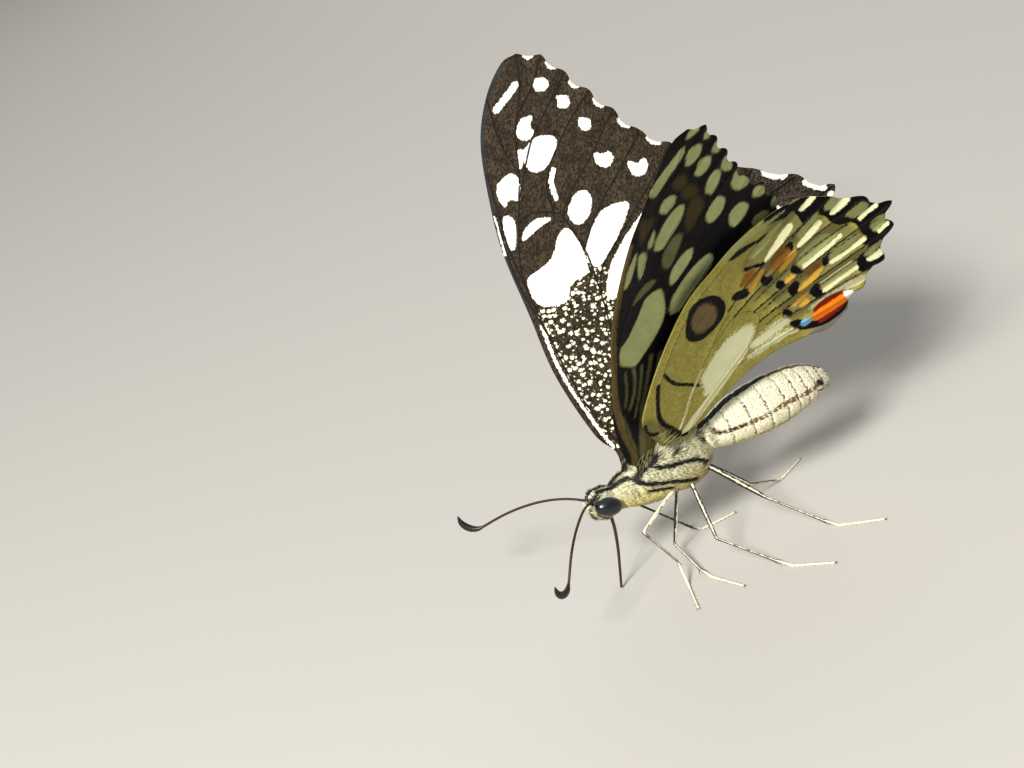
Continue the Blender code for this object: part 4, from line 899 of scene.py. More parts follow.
def extruded_rings(stations, sink):
    """A ring of points at the first station is extruded and resized from each station to the next."""
    rows = smooth_line(stations, 0.8)
    x, z, wide, high = rows[0]
    start = Vector(in_frame([(x, 0, z)])[0])
    bpy.ops.mesh.primitive_circle_add(vertices=RING_SIDES, radius=MM, fill_type="NGON", location=start,
                                      rotation=(0, math.pi / 2, 0))
    bpy.ops.object.mode_set(mode="EDIT")
    bpy.ops.mesh.select_all(action="SELECT")
    bpy.ops.transform.resize(value=(1, wide - sink, high - sink))
    for before, now in zip(rows, rows[1:]):
        move = ((now[0] - before[0]) * MM, 0, (now[1] - before[1]) * MM)
        wider, higher = ((now[k] - sink) / (before[k] - sink) for k in (2, 3))
        bpy.ops.mesh.extrude_region_move(TRANSFORM_OT_translate={"value": move})
        bpy.ops.transform.resize(value=(1, wider, higher))
    bpy.ops.mesh.select_all(action="SELECT")
    bpy.ops.mesh.normals_make_consistent(inside=False)
    bpy.ops.object.mode_set(mode="OBJECT")
    return bpy.context.active_object


def stretched_ball(form, side, sink, segments=32):
    """A ball at its place, stretched to three radii and tilted about Y."""
    centre, radii, tilt = form
    place = Vector(in_frame([(centre[0], centre[1] * side, centre[2])])[0])
    bpy.ops.mesh.primitive_uv_sphere_add(segments=segments, ring_count=segments // 2, radius=MM,
                                         location=place, rotation=(0, tilt, 0),
                                         scale=[r - sink for r in radii])
    return bpy.context.active_object


bpy.ops.object.select_all(action="DESELECT")
forms = [extruded_rings(THORAX, HAIR_DEPTH), extruded_rings(NECK, HAIR_DEPTH),
         extruded_rings(ABDOMEN, SCALE_DEPTH), stretched_ball(HEAD, 1, SCALE_DEPTH),
         stretched_ball(BROW, 1, SCALE_DEPTH)]
for side in (LEFT, RIGHT):
    forms += [stretched_ball(FORE_COXA, side, SCALE_DEPTH), stretched_ball(PALP, side, SCALE_DEPTH)]
for form in forms:
    form.select_set(True)
skin = forms[0]
bpy.context.view_layer.objects.active = skin
bpy.ops.object.join()
bpy.ops.object.transform_apply(location=True, rotation=True, scale=True)
skin.name = "body_skin"
remesh = skin.modifiers.new("one_skin", "REMESH")
remesh.mode = "VOXEL"
remesh.voxel_size = SKIN_VOXEL * MM
bpy.ops.object.modifier_apply(modifier=remesh.name)
smooth = skin.modifiers.new("soft_joins", "SMOOTH")
smooth.factor = 0.5
smooth.iterations = 5
bpy.ops.object.modifier_apply(modifier=smooth.name)
bpy.ops.object.shade_smooth()


def mesh_points(obj):
    """A piece's points in millimetres from the thorax."""
    places = np.empty(3 * len(obj.data.vertices), np.float32)
    obj.data.vertices.foreach_get("co", places)
    return (places.reshape(-1, 3).astype(float) - np.array(THORAX_MIDDLE)) / MM


def segment_dip(points):
    """How far the abdomen's shell steps in behind each segment's hind edge."""
    x, y, z = points.T
    ends = np.array(SEGMENT_ENDS)
    bowed = x + SEGMENT_BOW * (z - 1.4)
    after = bowed - ends[np.clip(np.searchsorted(ends, bowed) - 1, 0, len(ends) - 1)]
    return SEGMENT_STEP * np.exp(-np.clip(after, 0, 9) / 0.45) * (bowed > ends[0] + 0.3) * (x > 5.6)


skin_points = mesh_points(skin)
toward_axis = skin_points * (0, 1, 1) - (0, 0, BODY_AXIS_HEIGHT)
toward_axis[:, 0] = 0
toward_axis /= np.maximum(np.linalg.norm(toward_axis, axis=1), 0.3)[:, None]
skin_points -= toward_axis * segment_dip(skin_points)[:, None]
skin.data.vertices.foreach_set("co", in_frame(skin_points).astype(np.float32).ravel())
skin.data.update()

# The dark lines of the body as they run over its left side in space; the right side mirrors them.
BODY_LINES = (
    # Along the side from the wing roots to the hind hip, and its loop.
    (0.3, -1.7, -2, 1.9, -1.1, -2.2, 1.6, 0.1, -2.5, 1.4, 1.7, -2.6, 1.1, 2.9, -2.4, 0.6, 4.1, -2.2, -0.5),
    (0.1, 0, -2.5, 1.9, 0.5, -2.5, 2.5, 1, -2.5, 2.3, 0.9, -2.6, 1.5),
    (0.31, -4.4, -1.4, 1.1, -2.8, -2.2, 0.2, -0.7, -2.5, -0.7, 1.5, -2.2, -1.8, 2.4, -1.9, -2.1),
    (0.26, -3.4, -1.9, -0.8, -1.9, -2, -1.4, -0.6, -2, -1.9),
    (0.25, -8.4, -0.55, 1.3, -7.3, -0.65, 1.3, -6.2, -0.6, 1.3, -5.3, -0.8, 1.5, -4.6, -1.3, 1.5, -4.3, -1.6,
     1),
    (0.42, -4.4, -1.3, 1.3, -3.4, -1.5, 2, -1.9, -1.8, 2.6),
    (0.15, 6.6, -1.8, 1.95, 7.2, -1.95, 1.85),
    (0.17, 8, -2.2, 1.7, 8.7, -2.3, 1.65),
    (0.14, 9.4, -2.4, 1.6, 10, -2.45, 1.65),
    (0.2, -9.3, 0, 0.6, -8.6, 0, 1.5, -6.5, 0, 1.3, -4.6, 0, 2.1),
    (0.42, -4.6, 0, 2.1, -3, 0, 3.2, -0.5, 0, 4.2, 2, 0, 4.2, 4.4, 0, 3.4, 6, 0, 2.9),
    # Round the front of each eye and under it.
    (0.17, -8.2, -0.8, 1, -8.85, -0.76, 0.3, -9.05, -0.7, -0.5, -8.9, -0.72, -1.4, -8.2, -0.9, -2.1),
    # Between the two palps and round the root of each feeler.
    (0.16, -9.4, 0, 0.6, -9.8, 0, -0.6, -9.6, 0, -1.9),
    (0.26, -9.2, -0.55, 0.6, -8.7, -0.6, 0.9),
    (0.11, -9.6, -0.62, -0.2, -9.75, -0.62, -1, -9.45, -0.68, -1.9),
    # Round the socket of each hind leg.
    (0.14, 3.3, -1.7, -0.9, 4, -1.8, -0.5, 4.7, -1.6, -0.6, 5, -1.2, -1.2),
    # Painted shade in the crease between the rear of the thorax and the abdomen, under the hindwing's root.
    (0.24, 2.8, -1.4, 3.4, 3.7, -1.7, 2.7, 5, -1.5, 1.8),
    (0.52, 6, 0, 2.9, 8.4, 0, 3.9, 10.7, 0, 4.4, 12, 0, 4.6),
    (0.36, 12, 0, 4.6, 13.2, 0, 4.7, 14.2, 0, 4.8),
    # The opening between the two flaps at the tail, painted black as the shade inside it.
    (0.28, 21.4, 0, 2.3, 21.6, 0, 1.4, 21.4, 0, 0.6),
    (0.3, 19.9, -1.9, 2.2, 20.3, -1.8, 1.8),
    (0.16, 19.7, -1.9, 1.1, 20.3, -1.7, 0.9),
)
BODY_BROWN_LINES = (
    (0.32, 12, 0, 4.6, 15, 0, 4.8, 18, 0, 4.5, 20, 0, 3.8, 21.2, 0, 2.6),
    (0.27, 6, -1.1, 2.4, 6.9, -1.8, 1.9, 8.5, -2.3, 1.6, 10.1, -2.5, 1.65, 12.7, -2.8, 1.7, 15.2, -2.8, 2,
     18.3, -2.5, 1.8, 20.5, -1.9, 1.9),
    (0.06, 9, -1.7, -0.4, 12, -2.1, -0.7, 15, -2.2, -0.6, 18, -1.9, -0.2),
)
BREAK_LENGTH = 0.62


def along_line(points, line):
    """For each point, how far along the line its nearest place is."""
    best = np.full(len(points), 1e9)
    along = np.zeros(len(points))
    start = 0.0
    for a, b in zip(line, line[1:]):
        span = b - a
        length = np.linalg.norm(span)
        t = np.clip((points - a) @ span / (length * length), 0, 1)
        away = np.linalg.norm(points - a - t[:, None] * span, axis=1)
        along = np.where(away < best, start + t * length, along)
        best = np.minimum(best, away)
        start += length
    return along


def on_skin(line):
    """The line laid on the skin: each of its points moved to the middle of the nearest few of the skin's."""
    laid = []
    for place in smooth_line(line, 0.3):
        away = np.linalg.norm(skin_points - place, axis=1)
        laid.append(skin_points[np.argpartition(away, 5)[:5]].mean(0))
    return np.array(laid)


dark_lines = [(on_skin(in_space(*numbers)), half_width) for half_width, *numbers in BODY_LINES]
brown_lines = [(on_skin(in_space(*numbers)), half_width) for half_width, *numbers in BODY_BROWN_LINES]


def body_marks(points):
    """Depth inside the black and the brown marks, in millimetres, for the skin and for each tuft's root."""
    folded = points * (1, 1, 1)
    folded[:, 1] = -np.abs(folded[:, 1])
    dark = np.full(len(points), OUTSIDE)
    for line, half_width in dark_lines:
        dark = np.maximum(dark, half_width - distance_to_line(folded, line))
    brown = np.full(len(points), OUTSIDE)
    for number, (line, half_width) in enumerate(brown_lines):
        depth = half_width - distance_to_line(folded, line)
        if number == 1:
            beat = np.abs((along_line(folded, line) / BREAK_LENGTH) % 1 - 0.5)
            depth = np.minimum(depth, (beat - 0.13) * BREAK_LENGTH)
        brown = np.maximum(brown, depth)
    x, y, z = folded.T
    ends = np.array(SEGMENT_ENDS[1:])
    bowed = x + SEGMENT_BOW * (z - 1.4)
    to_end = np.min(np.abs(bowed[:, None] - ends[None]), axis=1)
    brown = np.maximum(brown, np.where((x > 6.5) & (z < 3.9), 0.1 - to_end, OUTSIDE))
    return dark, brown


def body_region(points):
    """1 on the abdomen with its flat scales, 0 on the hairy thorax and head; and the yellow of the belly."""
    x, y, z = points.T
    abdomen = smoothstep(5.2, 6.4, x)
    yellow = abdomen * smoothstep(1.0, -1.2, z) * 0.9
    yellow += (1 - abdomen) * (0.15 + 0.65 * smoothstep(0.9, -1.8, z)) * (1 - 0.6 * smoothstep(-8.0, -9.0, x))
    return abdomen, yellow


def body_finish(name, hair):
    """Cream hair or scales over pale chitin: matt and softly silky, with black and brown marks."""
    material, tree, shader = new_material(name)
    yellow, abdomen, tone = (stored(tree, key) for key in ("yellow", "abdomen", "tone"))
    place = add_node(tree, "TexCoord").outputs["Object"]
    cloud = noise(tree, place, 900.0, 4.0)
    colour = mixed(tree, abdomen, mixed(tree, yellow, "#faf4cb", "#e0cf74"), "#fbf4cf")
    colour = mixed(tree, compute(tree, "MULTIPLY", abdomen, yellow), colour, "#d9cf90")
    light = compute(tree, "MULTIPLY", ranged(tree, tone, 0, 1, 0.76, 1.16),
                    ranged(tree, cloud, 0.3, 0.7, 0.9, 1.04))
    colour = brightened(tree, colour, light)
    ragged = compute(tree, "SUBTRACT", cloud, 0.5)
    for key, mark in (("brown", "#74542f"), ("dark", "#15110f")):
        colour = marked(tree, colour, mark, stored(tree, key), ragged, 0.28, 0.08)
    tree.links.new(colour, shader.inputs["Base Color"])
    shader.inputs["Roughness"].default_value = 0.55 if hair else 0.7
    shader.inputs["Specular IOR Level"].default_value = 0.3
    if hair:
        # The light falls on the coat as a whole, so a tuft is shaded mostly as the skin at its root.
        ways = {0: 0.28, 4: stored(tree, "skin_way", "Vector"),
                5: add_node(tree, "NewGeometry").outputs["Normal"]}
        even = add_node(tree, "VectorMath", {"operation": "NORMALIZE"},
                        {0: add_node(tree, "Mix", {"data_type": "VECTOR"}, ways).outputs[1]})
        tree.links.new(even.outputs["Vector"], shader.inputs["Normal"])
        shader.inputs["Sheen Weight"].default_value = 0.1
    else:
        add_relief(tree, shader, noise(tree, place, 9000.0), 0.3, 0.00005)
    return material


def store_body_values(obj, points, tone):
    values = (*body_marks(points), *body_region(points), tone)
    for key, row in zip(("dark", "brown", "abdomen", "yellow", "tone"), values):
        set_values(obj, key, row)


UNWRAP_LENGTH = 34.0


def body_unwrap(points):
    """The skin rolled out: along the body in u and round it in v."""
    x, y, z = points.T
    u = 0.01 + 0.97 * (x + 10.6) / UNWRAP_LENGTH
    v = 0.02 + 0.96 * (np.arctan2(y, z - 0.4) / (2 * math.pi) + 0.5)
    return np.column_stack([u, v])


body_chitin = body_finish("pale_scaled_chitin", False)
skin.data.materials.clear()
skin.data.materials.append(body_chitin)
store_body_values(skin, skin_points, np.full(len(skin_points), 0.55))
while skin.data.uv_layers:
    skin.data.uv_layers.remove(skin.data.uv_layers[0])
set_unwrap(skin, body_unwrap(skin_points))
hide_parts("thorax", "neck", "head", "abdomen", "palp_left", "palp_right")
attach(skin, "root")


# Coat: hair-like scales on the head and thorax, up to a millimetre long and swept back, and short flat
# scales on the abdomen. Each tuft is a flat blade with a bend and a point that stands for a few hairs.
TUFT_SPREAD = 0.003
TUFT_POINTS = 7
ROOT_HAIR_MAP = 60.0
HAIR_PER_MM2 = 150.0
SCALES_PER_MM2 = 62.0
coat_random = np.random.default_rng(20)


def skin_samples(obj, density):
    """Roots on the skin, chosen by a density for each point of it: places and outward directions."""
    mesh = obj.data
    mesh.calc_loop_triangles()
    corners = np.empty(3 * len(mesh.loop_triangles), np.int32)
    mesh.loop_triangles.foreach_get("vertices", corners)
    corners = corners.reshape(-1, 3)
    normals = np.empty(3 * len(mesh.vertices), np.float32)
    mesh.vertices.foreach_get("normal", normals)
    normals = normals.reshape(-1, 3).astype(float)
    points = mesh_points(obj)
    a, b, c = points[corners[:, 0]], points[corners[:, 1]], points[corners[:, 2]]
    area = 0.5 * np.linalg.norm(np.cross(b - a, c - a), axis=1)
    wanted = area * density(points)[corners].mean(1)
    count = int(wanted.sum())
    chosen = coat_random.choice(len(corners), count, p=wanted / wanted.sum())
    r1, r2 = coat_random.random((2, count))
    r1 = np.sqrt(r1)
    share = np.stack([1 - r1, r1 * (1 - r2), r1 * r2], 1)
    roots = (points[corners[chosen]] * share[:, :, None]).sum(1)
    outward = (normals[corners[chosen]] * share[:, :, None]).sum(1)
    return roots, outward / np.linalg.norm(outward, axis=1)[:, None]


def blades(roots, outward, lie, length, width, lift, thickness=0.3):
    """Flat pointed blades, three-sided: rooted in the skin, bent down to the lie. Points and triangles."""
    lie = lie - outward * (lie * outward).sum(1)[:, None]
    lie /= np.maximum(np.linalg.norm(lie, axis=1), 1e-6)[:, None]
    side_way = np.cross(outward, lie)
    length, width, lift = length[:, None], width[:, None], lift[:, None]
    middle = roots + lie * length * 0.5 + outward * lift * 0.8
    tip = roots + lie * length * 0.97 + outward * lift * 0.75
    low = roots - outward * 0.05
    rings = [low - side_way * width * 0.35, low + side_way * width * 0.35, low + outward * width * thickness,
             middle - side_way * width * 0.5, middle + side_way * width * 0.5,
             middle + outward * width * thickness, tip]
    points = np.stack(rings, 1).reshape(-1, 3)
    pattern = np.array(((0, 1, 2), (0, 3, 4), (0, 4, 1), (1, 4, 5), (1, 5, 2), (2, 5, 3), (2, 3, 0),
                        (3, 6, 4), (4, 6, 5), (5, 6, 3)))
    faces = (pattern[None] + TUFT_POINTS * np.arange(len(roots))[:, None, None]).reshape(-1, 3)
    a, b, c = (points[pattern[7][k]] for k in (0, 1, 2))
    if np.cross(b - a, c - a) @ outward[0] > 0:
        faces = faces[:, ::-1]
    return points, faces


def eye_clearance(points):
    """How far outside the eyes each point is, as a share of their size."""
    centre, radii, tilt = EYE
    x, y, z = (points * (1, 1, 1)).T
    x, y, z = x - centre[0], np.abs(y) - centre[1], z - centre[2]
    across, high = x * math.cos(tilt) - z * math.sin(tilt), x * math.sin(tilt) + z * math.cos(tilt)
    return np.sqrt((across / radii[0]) ** 2 + (y / radii[1]) ** 2 + (high / radii[2]) ** 2)


def map_tufts(piece, outward, places):
    """Shades each tuft as the skin at its root, and gives it a small patch of the map round its place."""
    set_values(piece, "skin_way", np.repeat(outward, TUFT_POINTS, axis=0), "FLOAT_VECTOR")
    spread = np.array(((-1, -0.3), (-1, 0.3), (-1, 0), (0, -0.5), (0, 0.5), (0, 0), (1, 0))) * TUFT_SPREAD / 2
    set_unwrap(piece, (places[:, None] + spread[None]).reshape(-1, 2))


def coat_piece(name, density, length, lie, lift, width):
    """Tufts over a part of the skin; density, length, lie and lift are asked for at each root."""
    roots, outward = skin_samples(skin, density)
    keep = eye_clearance(roots) > 1.02
    roots, outward = roots[keep], outward[keep]
    count = len(roots)
    clump = np.sin(roots @ (7.1, 3.7, 5.3)) * np.sin(roots @ (-4.9, 6.3, 3.1))
    direction = lie(roots) + coat_random.normal(0, 0.14, (count, 3)) + clump[:, None] * (0, 0.12, 0.15)
    by_eye = np.clip((eye_clearance(roots) - 0.9) * 3, 0.35, 1)
    sizes = length(roots) * coat_random.uniform(0.7, 1.2, count) * by_eye
    points, faces = blades(roots, outward, direction, sizes, width * coat_random.uniform(0.7, 1.3, count),
                           sizes * lift(roots) * coat_random.uniform(0.6, 1.4, count))
    piece = mesh_piece(name, points, faces, [body_coat])
    # The tone is random and clumped, and it is painted lighter on the flank under the wings as painted light
    # against the shade that the wings cast there.
    tone = coat_random.normal(0.62, 0.16, count) + 0.14 * clump + 0.3 * near_wing_roots(roots)
    store_body_values(piece, np.repeat(roots, TUFT_POINTS, axis=0),
                      np.repeat(np.clip(tone, 0, 1), TUFT_POINTS))
    map_tufts(piece, outward, body_unwrap(roots))


body_coat = body_finish("cream_hair_scales", True)


def near_wing_roots(points):
    """1 on the flank under the wings, where the hair is long and raised."""
    x, y, z = points.T
    return (smoothstep(-3.2, -1.2, x) * smoothstep(5.8, 4.2, x) * smoothstep(1.9, 2.7, z)
            * smoothstep(0.9, 1.5, np.abs(y)))


def thorax_lie(points):
    x, y, z = points.T
    raised = near_wing_roots(points)
    return np.column_stack([1.0 - 0.5 * raised, 0.12 * np.sign(y), -0.3 - 0.12 * z + 1.5 * raised])


def thorax_half(side):
    def density(points):
        x, y, z = points.T
        on_thorax = smoothstep(-5.4, -4.6, x) - smoothstep(5.4, 6.2, x)
        return HAIR_PER_MM2 * on_thorax * (z > -3.9) * (y * side >= 0)
    return density


def head_and_hips(points):
    x, y, z = points.T
    return HAIR_PER_MM2 * (1 - smoothstep(-5.4, -4.6, x)) + 40.0 * ((z < -2.2) & (x > -4.6) & (x < 1.2))


for side, word in ((LEFT, "left"), (RIGHT, "right")):
    coat_piece(f"thorax_coat_{word}", thorax_half(side), lambda p: 1.0 + 1.1 * near_wing_roots(p), thorax_lie,
               lambda p: 0.2 + 0.1 * near_wing_roots(p), 0.065)
coat_piece("abdomen_coat", lambda p: SCALES_PER_MM2 * smoothstep(5.4, 6.2, p[:, 0]),
           lambda p: 0.42 + 0.4 * smoothstep(20.7, 21.3, p[:, 0]),
           lambda p: np.tile((1.0, 0.0, -0.05), (len(p), 1)),
           lambda p: 0.07 + 0.2 * smoothstep(20.4, 21.4, p[:, 0]), 0.12)
coat_piece("head_coat", head_and_hips, lambda p: 0.5 + 0.35 * smoothstep(-7.5, -5.5, p[:, 0]),
           lambda p: np.column_stack([np.ones(len(p)), 0.2 * np.sign(p[:, 1]), -0.1 - 0.25 * p[:, 2]]),
           lambda p: np.full(len(p), 0.32), 0.06)


# Hair over the wing roots: the long olive and cream hair that runs from the thorax out along the base of
# each wing's outer face.
def root_hair(name, wing, surface, marks, low, high, count, yellow, tone):
    for side, word in ((LEFT, "left"), (RIGHT, "right")):
        flat = coat_random.uniform(low, high, (count, 2))
        outline = np.vstack([smooth_line(wing["lead"], 0.5), smooth_line(wing["trail"], 0.5)])
        far = (flat[:, 0] - low[0]) / (high[0] - low[0])
        flat = flat[(depth_in_loop(flat, outline) > 0.15) & (coat_random.random(count) > far ** 1.5)]
        roots, outward = surface(side, flat, np.full(len(flat), 0.1))
        beyond, _ = surface(side, flat + (1.0, 0.0), np.full(len(flat), 0.1))
        size = len(flat)
        direction = beyond - roots + coat_random.normal(0, 0.12, (size, 3))
        lengths = coat_random.uniform(0.7, 1.3, size)
        outward = np.tile(outward, (size, 1))
        points, faces = blades(roots, outward, direction, lengths, np.full(size, 0.04), lengths * 0.08)
        piece = mesh_piece(f"{name}_{word}", points, faces, [body_coat])
        dark = np.maximum(marks_depth(flat, marks.get("black", ())), coat_random.uniform(-1.5, 0.05, size))
        values = (dark, np.full(size, OUTSIDE), np.zeros(size), np.full(size, yellow),
                  coat_random.uniform(*tone, size))
        for key, row in zip(("dark", "brown", "abdomen", "yellow", "tone"), values):
            set_values(piece, key, np.repeat(row, TUFT_POINTS))
        map_tufts(piece, outward, (flat - low) / ROOT_HAIR_MAP + 0.3)


root_hair("hindwing_root_hair", HINDWING, hindwing_surface, HINDWING_UNDER, (-3.0, -5.5), (-1.0, 1.0), 240,
          0.9, (0.3, 0.75))
root_hair("forewing_root_hair", FOREWING, forewing_surface, {}, (-1.2, -1.5), (1.8, 1.5), 190,
          0.45, (0.4, 0.95))


# Eyes: round compound eyes of clear chitin over black-blue pigment, made of thousands of tiny lenses set
# in rows, so that their polish is broken up very finely.
FACET = 0.075


def eye_finish():
    """Polished and nearly black, with a soft blue highlight painted on top where the light comes in."""
    material, tree, shader = new_material("blue_black_compound_eye")
    place = add_node(tree, "TexCoord").outputs["Object"]
    lenses = add_node(tree, "TexVoronoi",
                      inputs={"Vector": place, "Scale": 1 / (FACET * MM), "Randomness": 0.25})
    high = add_node(tree, "SeparateXYZ", inputs={"Vector": add_node(tree, "NewGeometry").outputs["Normal"]})
    # Painted highlight: near black turning to grey-blue on the faces that look up.
    painted_top_highlight = ranged(tree, high.outputs["Z"], 0.3, 1.0, shape="SMOOTHSTEP")
    tree.links.new(mixed(tree, painted_top_highlight, "#040507", "#1b212c"), shader.inputs["Base Color"])
    add_relief(tree, shader, lenses.outputs["Distance"], 0.15, 0.00003).invert = True
    shader.inputs["Roughness"].default_value = 0.3
    shader.inputs["Coat Weight"].default_value = 0.3
    shader.inputs["Coat Roughness"].default_value = 0.16
    return material


eye_lens = eye_finish()
for side, word in ((LEFT, "left"), (RIGHT, "right")):
    bpy.ops.object.select_all(action="DESELECT")
    eye = stretched_ball(EYE, side, 0.0, 48)
    bpy.ops.object.transform_apply(location=True, rotation=True, scale=True)
    bpy.ops.object.shade_smooth()
    eye.name = f"compound_eye_{word}"
    eye.data.materials.append(eye_lens)
    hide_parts(f"eye_{word}")
    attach(eye, "root")


# Feelers and tongue: jointed threads of dark red-brown chitin, each feeler ringed and swollen to a
# near-black club at its end; the tongue is two gutters closed into one tube.
FEELER_ROOT = (-8.3, 0.6, 0.2)
FEELER_ROOT_SHIFT = (-0.8, 0.0, -0.1)
FEELER_LENGTH = 18.1
FEELER_STEPS = 24
FEELER_RINGS = 38
FEELER_RADIUS = 0.13
CLUB_RADIUS = 0.44
CLUB_LENGTH = 3.6
FEELER_YAW_ROOT_AND_TIP = {LEFT: (54, 38), RIGHT: (45, 31)}
FEELER_PITCH_ROOT_CLUB_TIP = {LEFT: (37, -43, 97), RIGHT: (8, -21, 96)}
TONGUE = in_space(-7.3, 0, -2.2, -7.35, 0, -4.2, -7.7, 0, -6.6, -8.2, 0, -8.9, -8.75, 0, FLOOR + 0.2)
TONGUE_RADII = (0.2, 0.14)
TONGUE_RING_LENGTH = 14.0


def drawn_tube(name, route, radii, material, nodes):
    """A curve through the route with a radius at each point, thickened and made into a mesh."""
    bpy.ops.object.select_all(action="DESELECT")
    curve = bpy.data.curves.new(name, "CURVE")
    curve.dimensions = "3D"
    curve.bevel_depth = MM
    curve.bevel_resolution = 3
    curve.use_fill_caps = True
    spline = curve.splines.new("POLY")
    spline.points.add(len(route) - 1)
    for point, place, radius in zip(spline.points, in_frame(route), radii):
        point.co = (*place, 1.0)
        point.radius = radius
    obj = bpy.data.objects.new(name, curve)
    bpy.context.scene.collection.objects.link(obj)
    obj.select_set(True)
    bpy.context.view_layer.objects.active = obj
    bpy.ops.object.convert(target="MESH")
    obj = bpy.context.active_object
    bpy.ops.object.mode_set(mode="EDIT")
    bpy.ops.mesh.select_all(action="SELECT")
    bpy.ops.mesh.remove_doubles(threshold=1e-7)
    bpy.ops.mesh.normals_make_consistent(inside=False)
    bpy.ops.object.mode_set(mode="OBJECT")
    bpy.ops.object.shade_smooth()
    obj.data.materials.clear()
    obj.data.materials.append(material)
    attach(obj, "root")
    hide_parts(*nodes)
    return obj


def feeler_route(side):
    place = np.array(FEELER_ROOT) * (1, side, 1)
    yaw_root, yaw_tip = (math.radians(a) for a in FEELER_YAW_ROOT_AND_TIP[side])
    pitch_root, pitch_club, pitch_tip = (math.radians(a) for a in FEELER_PITCH_ROOT_CLUB_TIP[side])
    route = [place]
    for k in range(FEELER_STEPS):
        t = (k + 0.5) / FEELER_STEPS
        yaw = yaw_root + (yaw_tip - yaw_root) * t
        pitch = pitch_root + (pitch_club - pitch_root) * min(1.0, t / 0.7)
        pitch += (pitch_tip - pitch_club) * max(0.0, (t - 0.8) / 0.2)
        level = math.cos(pitch)
        step = np.array((-math.cos(yaw) * level, side * math.sin(yaw) * level, math.sin(pitch)))
        route.append(route[-1] + step * FEELER_LENGTH / FEELER_STEPS)
    kept = np.clip(1 - np.linspace(0, 1, len(route)) / 0.45, 0, 1) ** 2
    return np.array(route) + np.outer(kept, FEELER_ROOT_SHIFT)


def feeler_radius(distance):
    """Thin shaft with a slight swelling in each ring, then a club that swells and rounds off at its tip."""
    ring = 0.02 * abs(math.sin(math.pi * distance / FEELER_LENGTH * FEELER_RINGS))
    along_club = (distance - FEELER_LENGTH + CLUB_LENGTH) / CLUB_LENGTH
    if along_club <= 0:
        return FEELER_RADIUS + ring + 0.08 * math.exp(-distance / 0.5)
    swell = math.sin(math.pi * min(along_club, 0.97) ** 1.1) ** 0.8
    return FEELER_RADIUS * (1 - 0.6 * along_club) + ring + (CLUB_RADIUS - FEELER_RADIUS) * swell


def feeler_finish():
    """Smooth red-brown chitin with a low gloss: darker at each ring, and nearly black on the club."""
    material, tree, shader = new_material("red_brown_feeler_chitin")
    along = stored(tree, "along")
    colour = mixed(tree, ranged(tree, along, 0.72, 0.9, shape="SMOOTHSTEP"), "#351709", "#0d0809")
    wave = compute(tree, "COSINE", compute(tree, "MULTIPLY", along, 2 * math.pi * FEELER_RINGS))
    colour = brightened(tree, colour, ranged(tree, wave, 0.6, 1.0, 1.0, 0.35))
    tree.links.new(colour, shader.inputs["Base Color"])
    grain = noise(tree, add_node(tree, "TexCoord").outputs["Object"], 14000.0)
    add_relief(tree, shader, grain, 0.25, 0.00003)
    shader.inputs["Roughness"].default_value = 0.42
    return material


feeler_chitin = feeler_finish()
for side, word in ((LEFT, "left"), (RIGHT, "right")):
    coarse = feeler_route(side)
    route = smooth_line(coarse, FEELER_LENGTH / FEELER_RINGS / 4)
    shares = np.linspace(0, 1, len(route))
    radii = [feeler_radius(FEELER_LENGTH * share) for share in shares]
    feeler = drawn_tube(f"feeler_{word}", route, radii, feeler_chitin, [f"antenna_{word}"])
    set_values(feeler, "along", along_line(mesh_points(feeler), route) / FEELER_LENGTH)
route = smooth_line(TONGUE, 0.25)
radii = np.linspace(*TONGUE_RADII, len(route))
tongue = drawn_tube("tongue", route, radii, feeler_chitin, ["proboscis"])
set_values(tongue, "along", along_line(mesh_points(tongue), route) / TONGUE_RING_LENGTH)


# Legs: slender jointed tubes of chitin under close cream scales, with a black line down the front of
# each thigh and shin, two spurs at the end of the shin, and a five-jointed foot with rows of spines.
LEG_ROUTES = {
    "fore_left": in_space(0.2, -1.2, -2.3, -5.6, -4, -3.9, -2.9, -4.1, -9, -3.1, -5.9, FLOOR, -4.4, -10.6,
        FLOOR),
    "fore_right": in_space(0.6, 1.1, -2.6, -2.2, 5, -5.7, 2.2, 3.2, -10.2, 3.5, 3.4, FLOOR, 8, 3.4, FLOOR),
    "mid_left": in_space(2.3, -1.2, -2.2, 1.5, -6.2, -7.4, 5.6, -10.6, -10.5, 6.8, -11.6, FLOOR, 10.4, -14.9,
        FLOOR),
    "mid_right": in_space(1.7, 1, -2.8, -1, 0.7, -9.9, -0.9, -4.9, -10.9, -0.5, -6.2, FLOOR, 1.2, -10.8,
        FLOOR),
    "hind_left": in_space(4.5, -1.1, -1.2, 9.1, -4.6, -6.6, 13.4, -8, -10.4, 14.6, -8.8, FLOOR, 18.8, -11.9,
        FLOOR),
    "hind_right": in_space(4.5, 1.1, -1.4, 10.5, 2.6, -8.4, 14.2, 4.6, -10.6, 15.5, 5.3, FLOOR, 19.5, 7.6,
        FLOOR),
}
LEG_RADII = {"hip": 0.2, "thigh": 0.25, "knee": 0.18, "shin": 0.14, "ankle": 0.18, "foot": 0.13, "toe": 0.11}
HIND_THIGH_RADIUS = 0.31
FOOT_JOINTS = (0.0, 0.46, 0.62, 0.75, 0.86, 1.0)
SPINE_STEP = 0.55


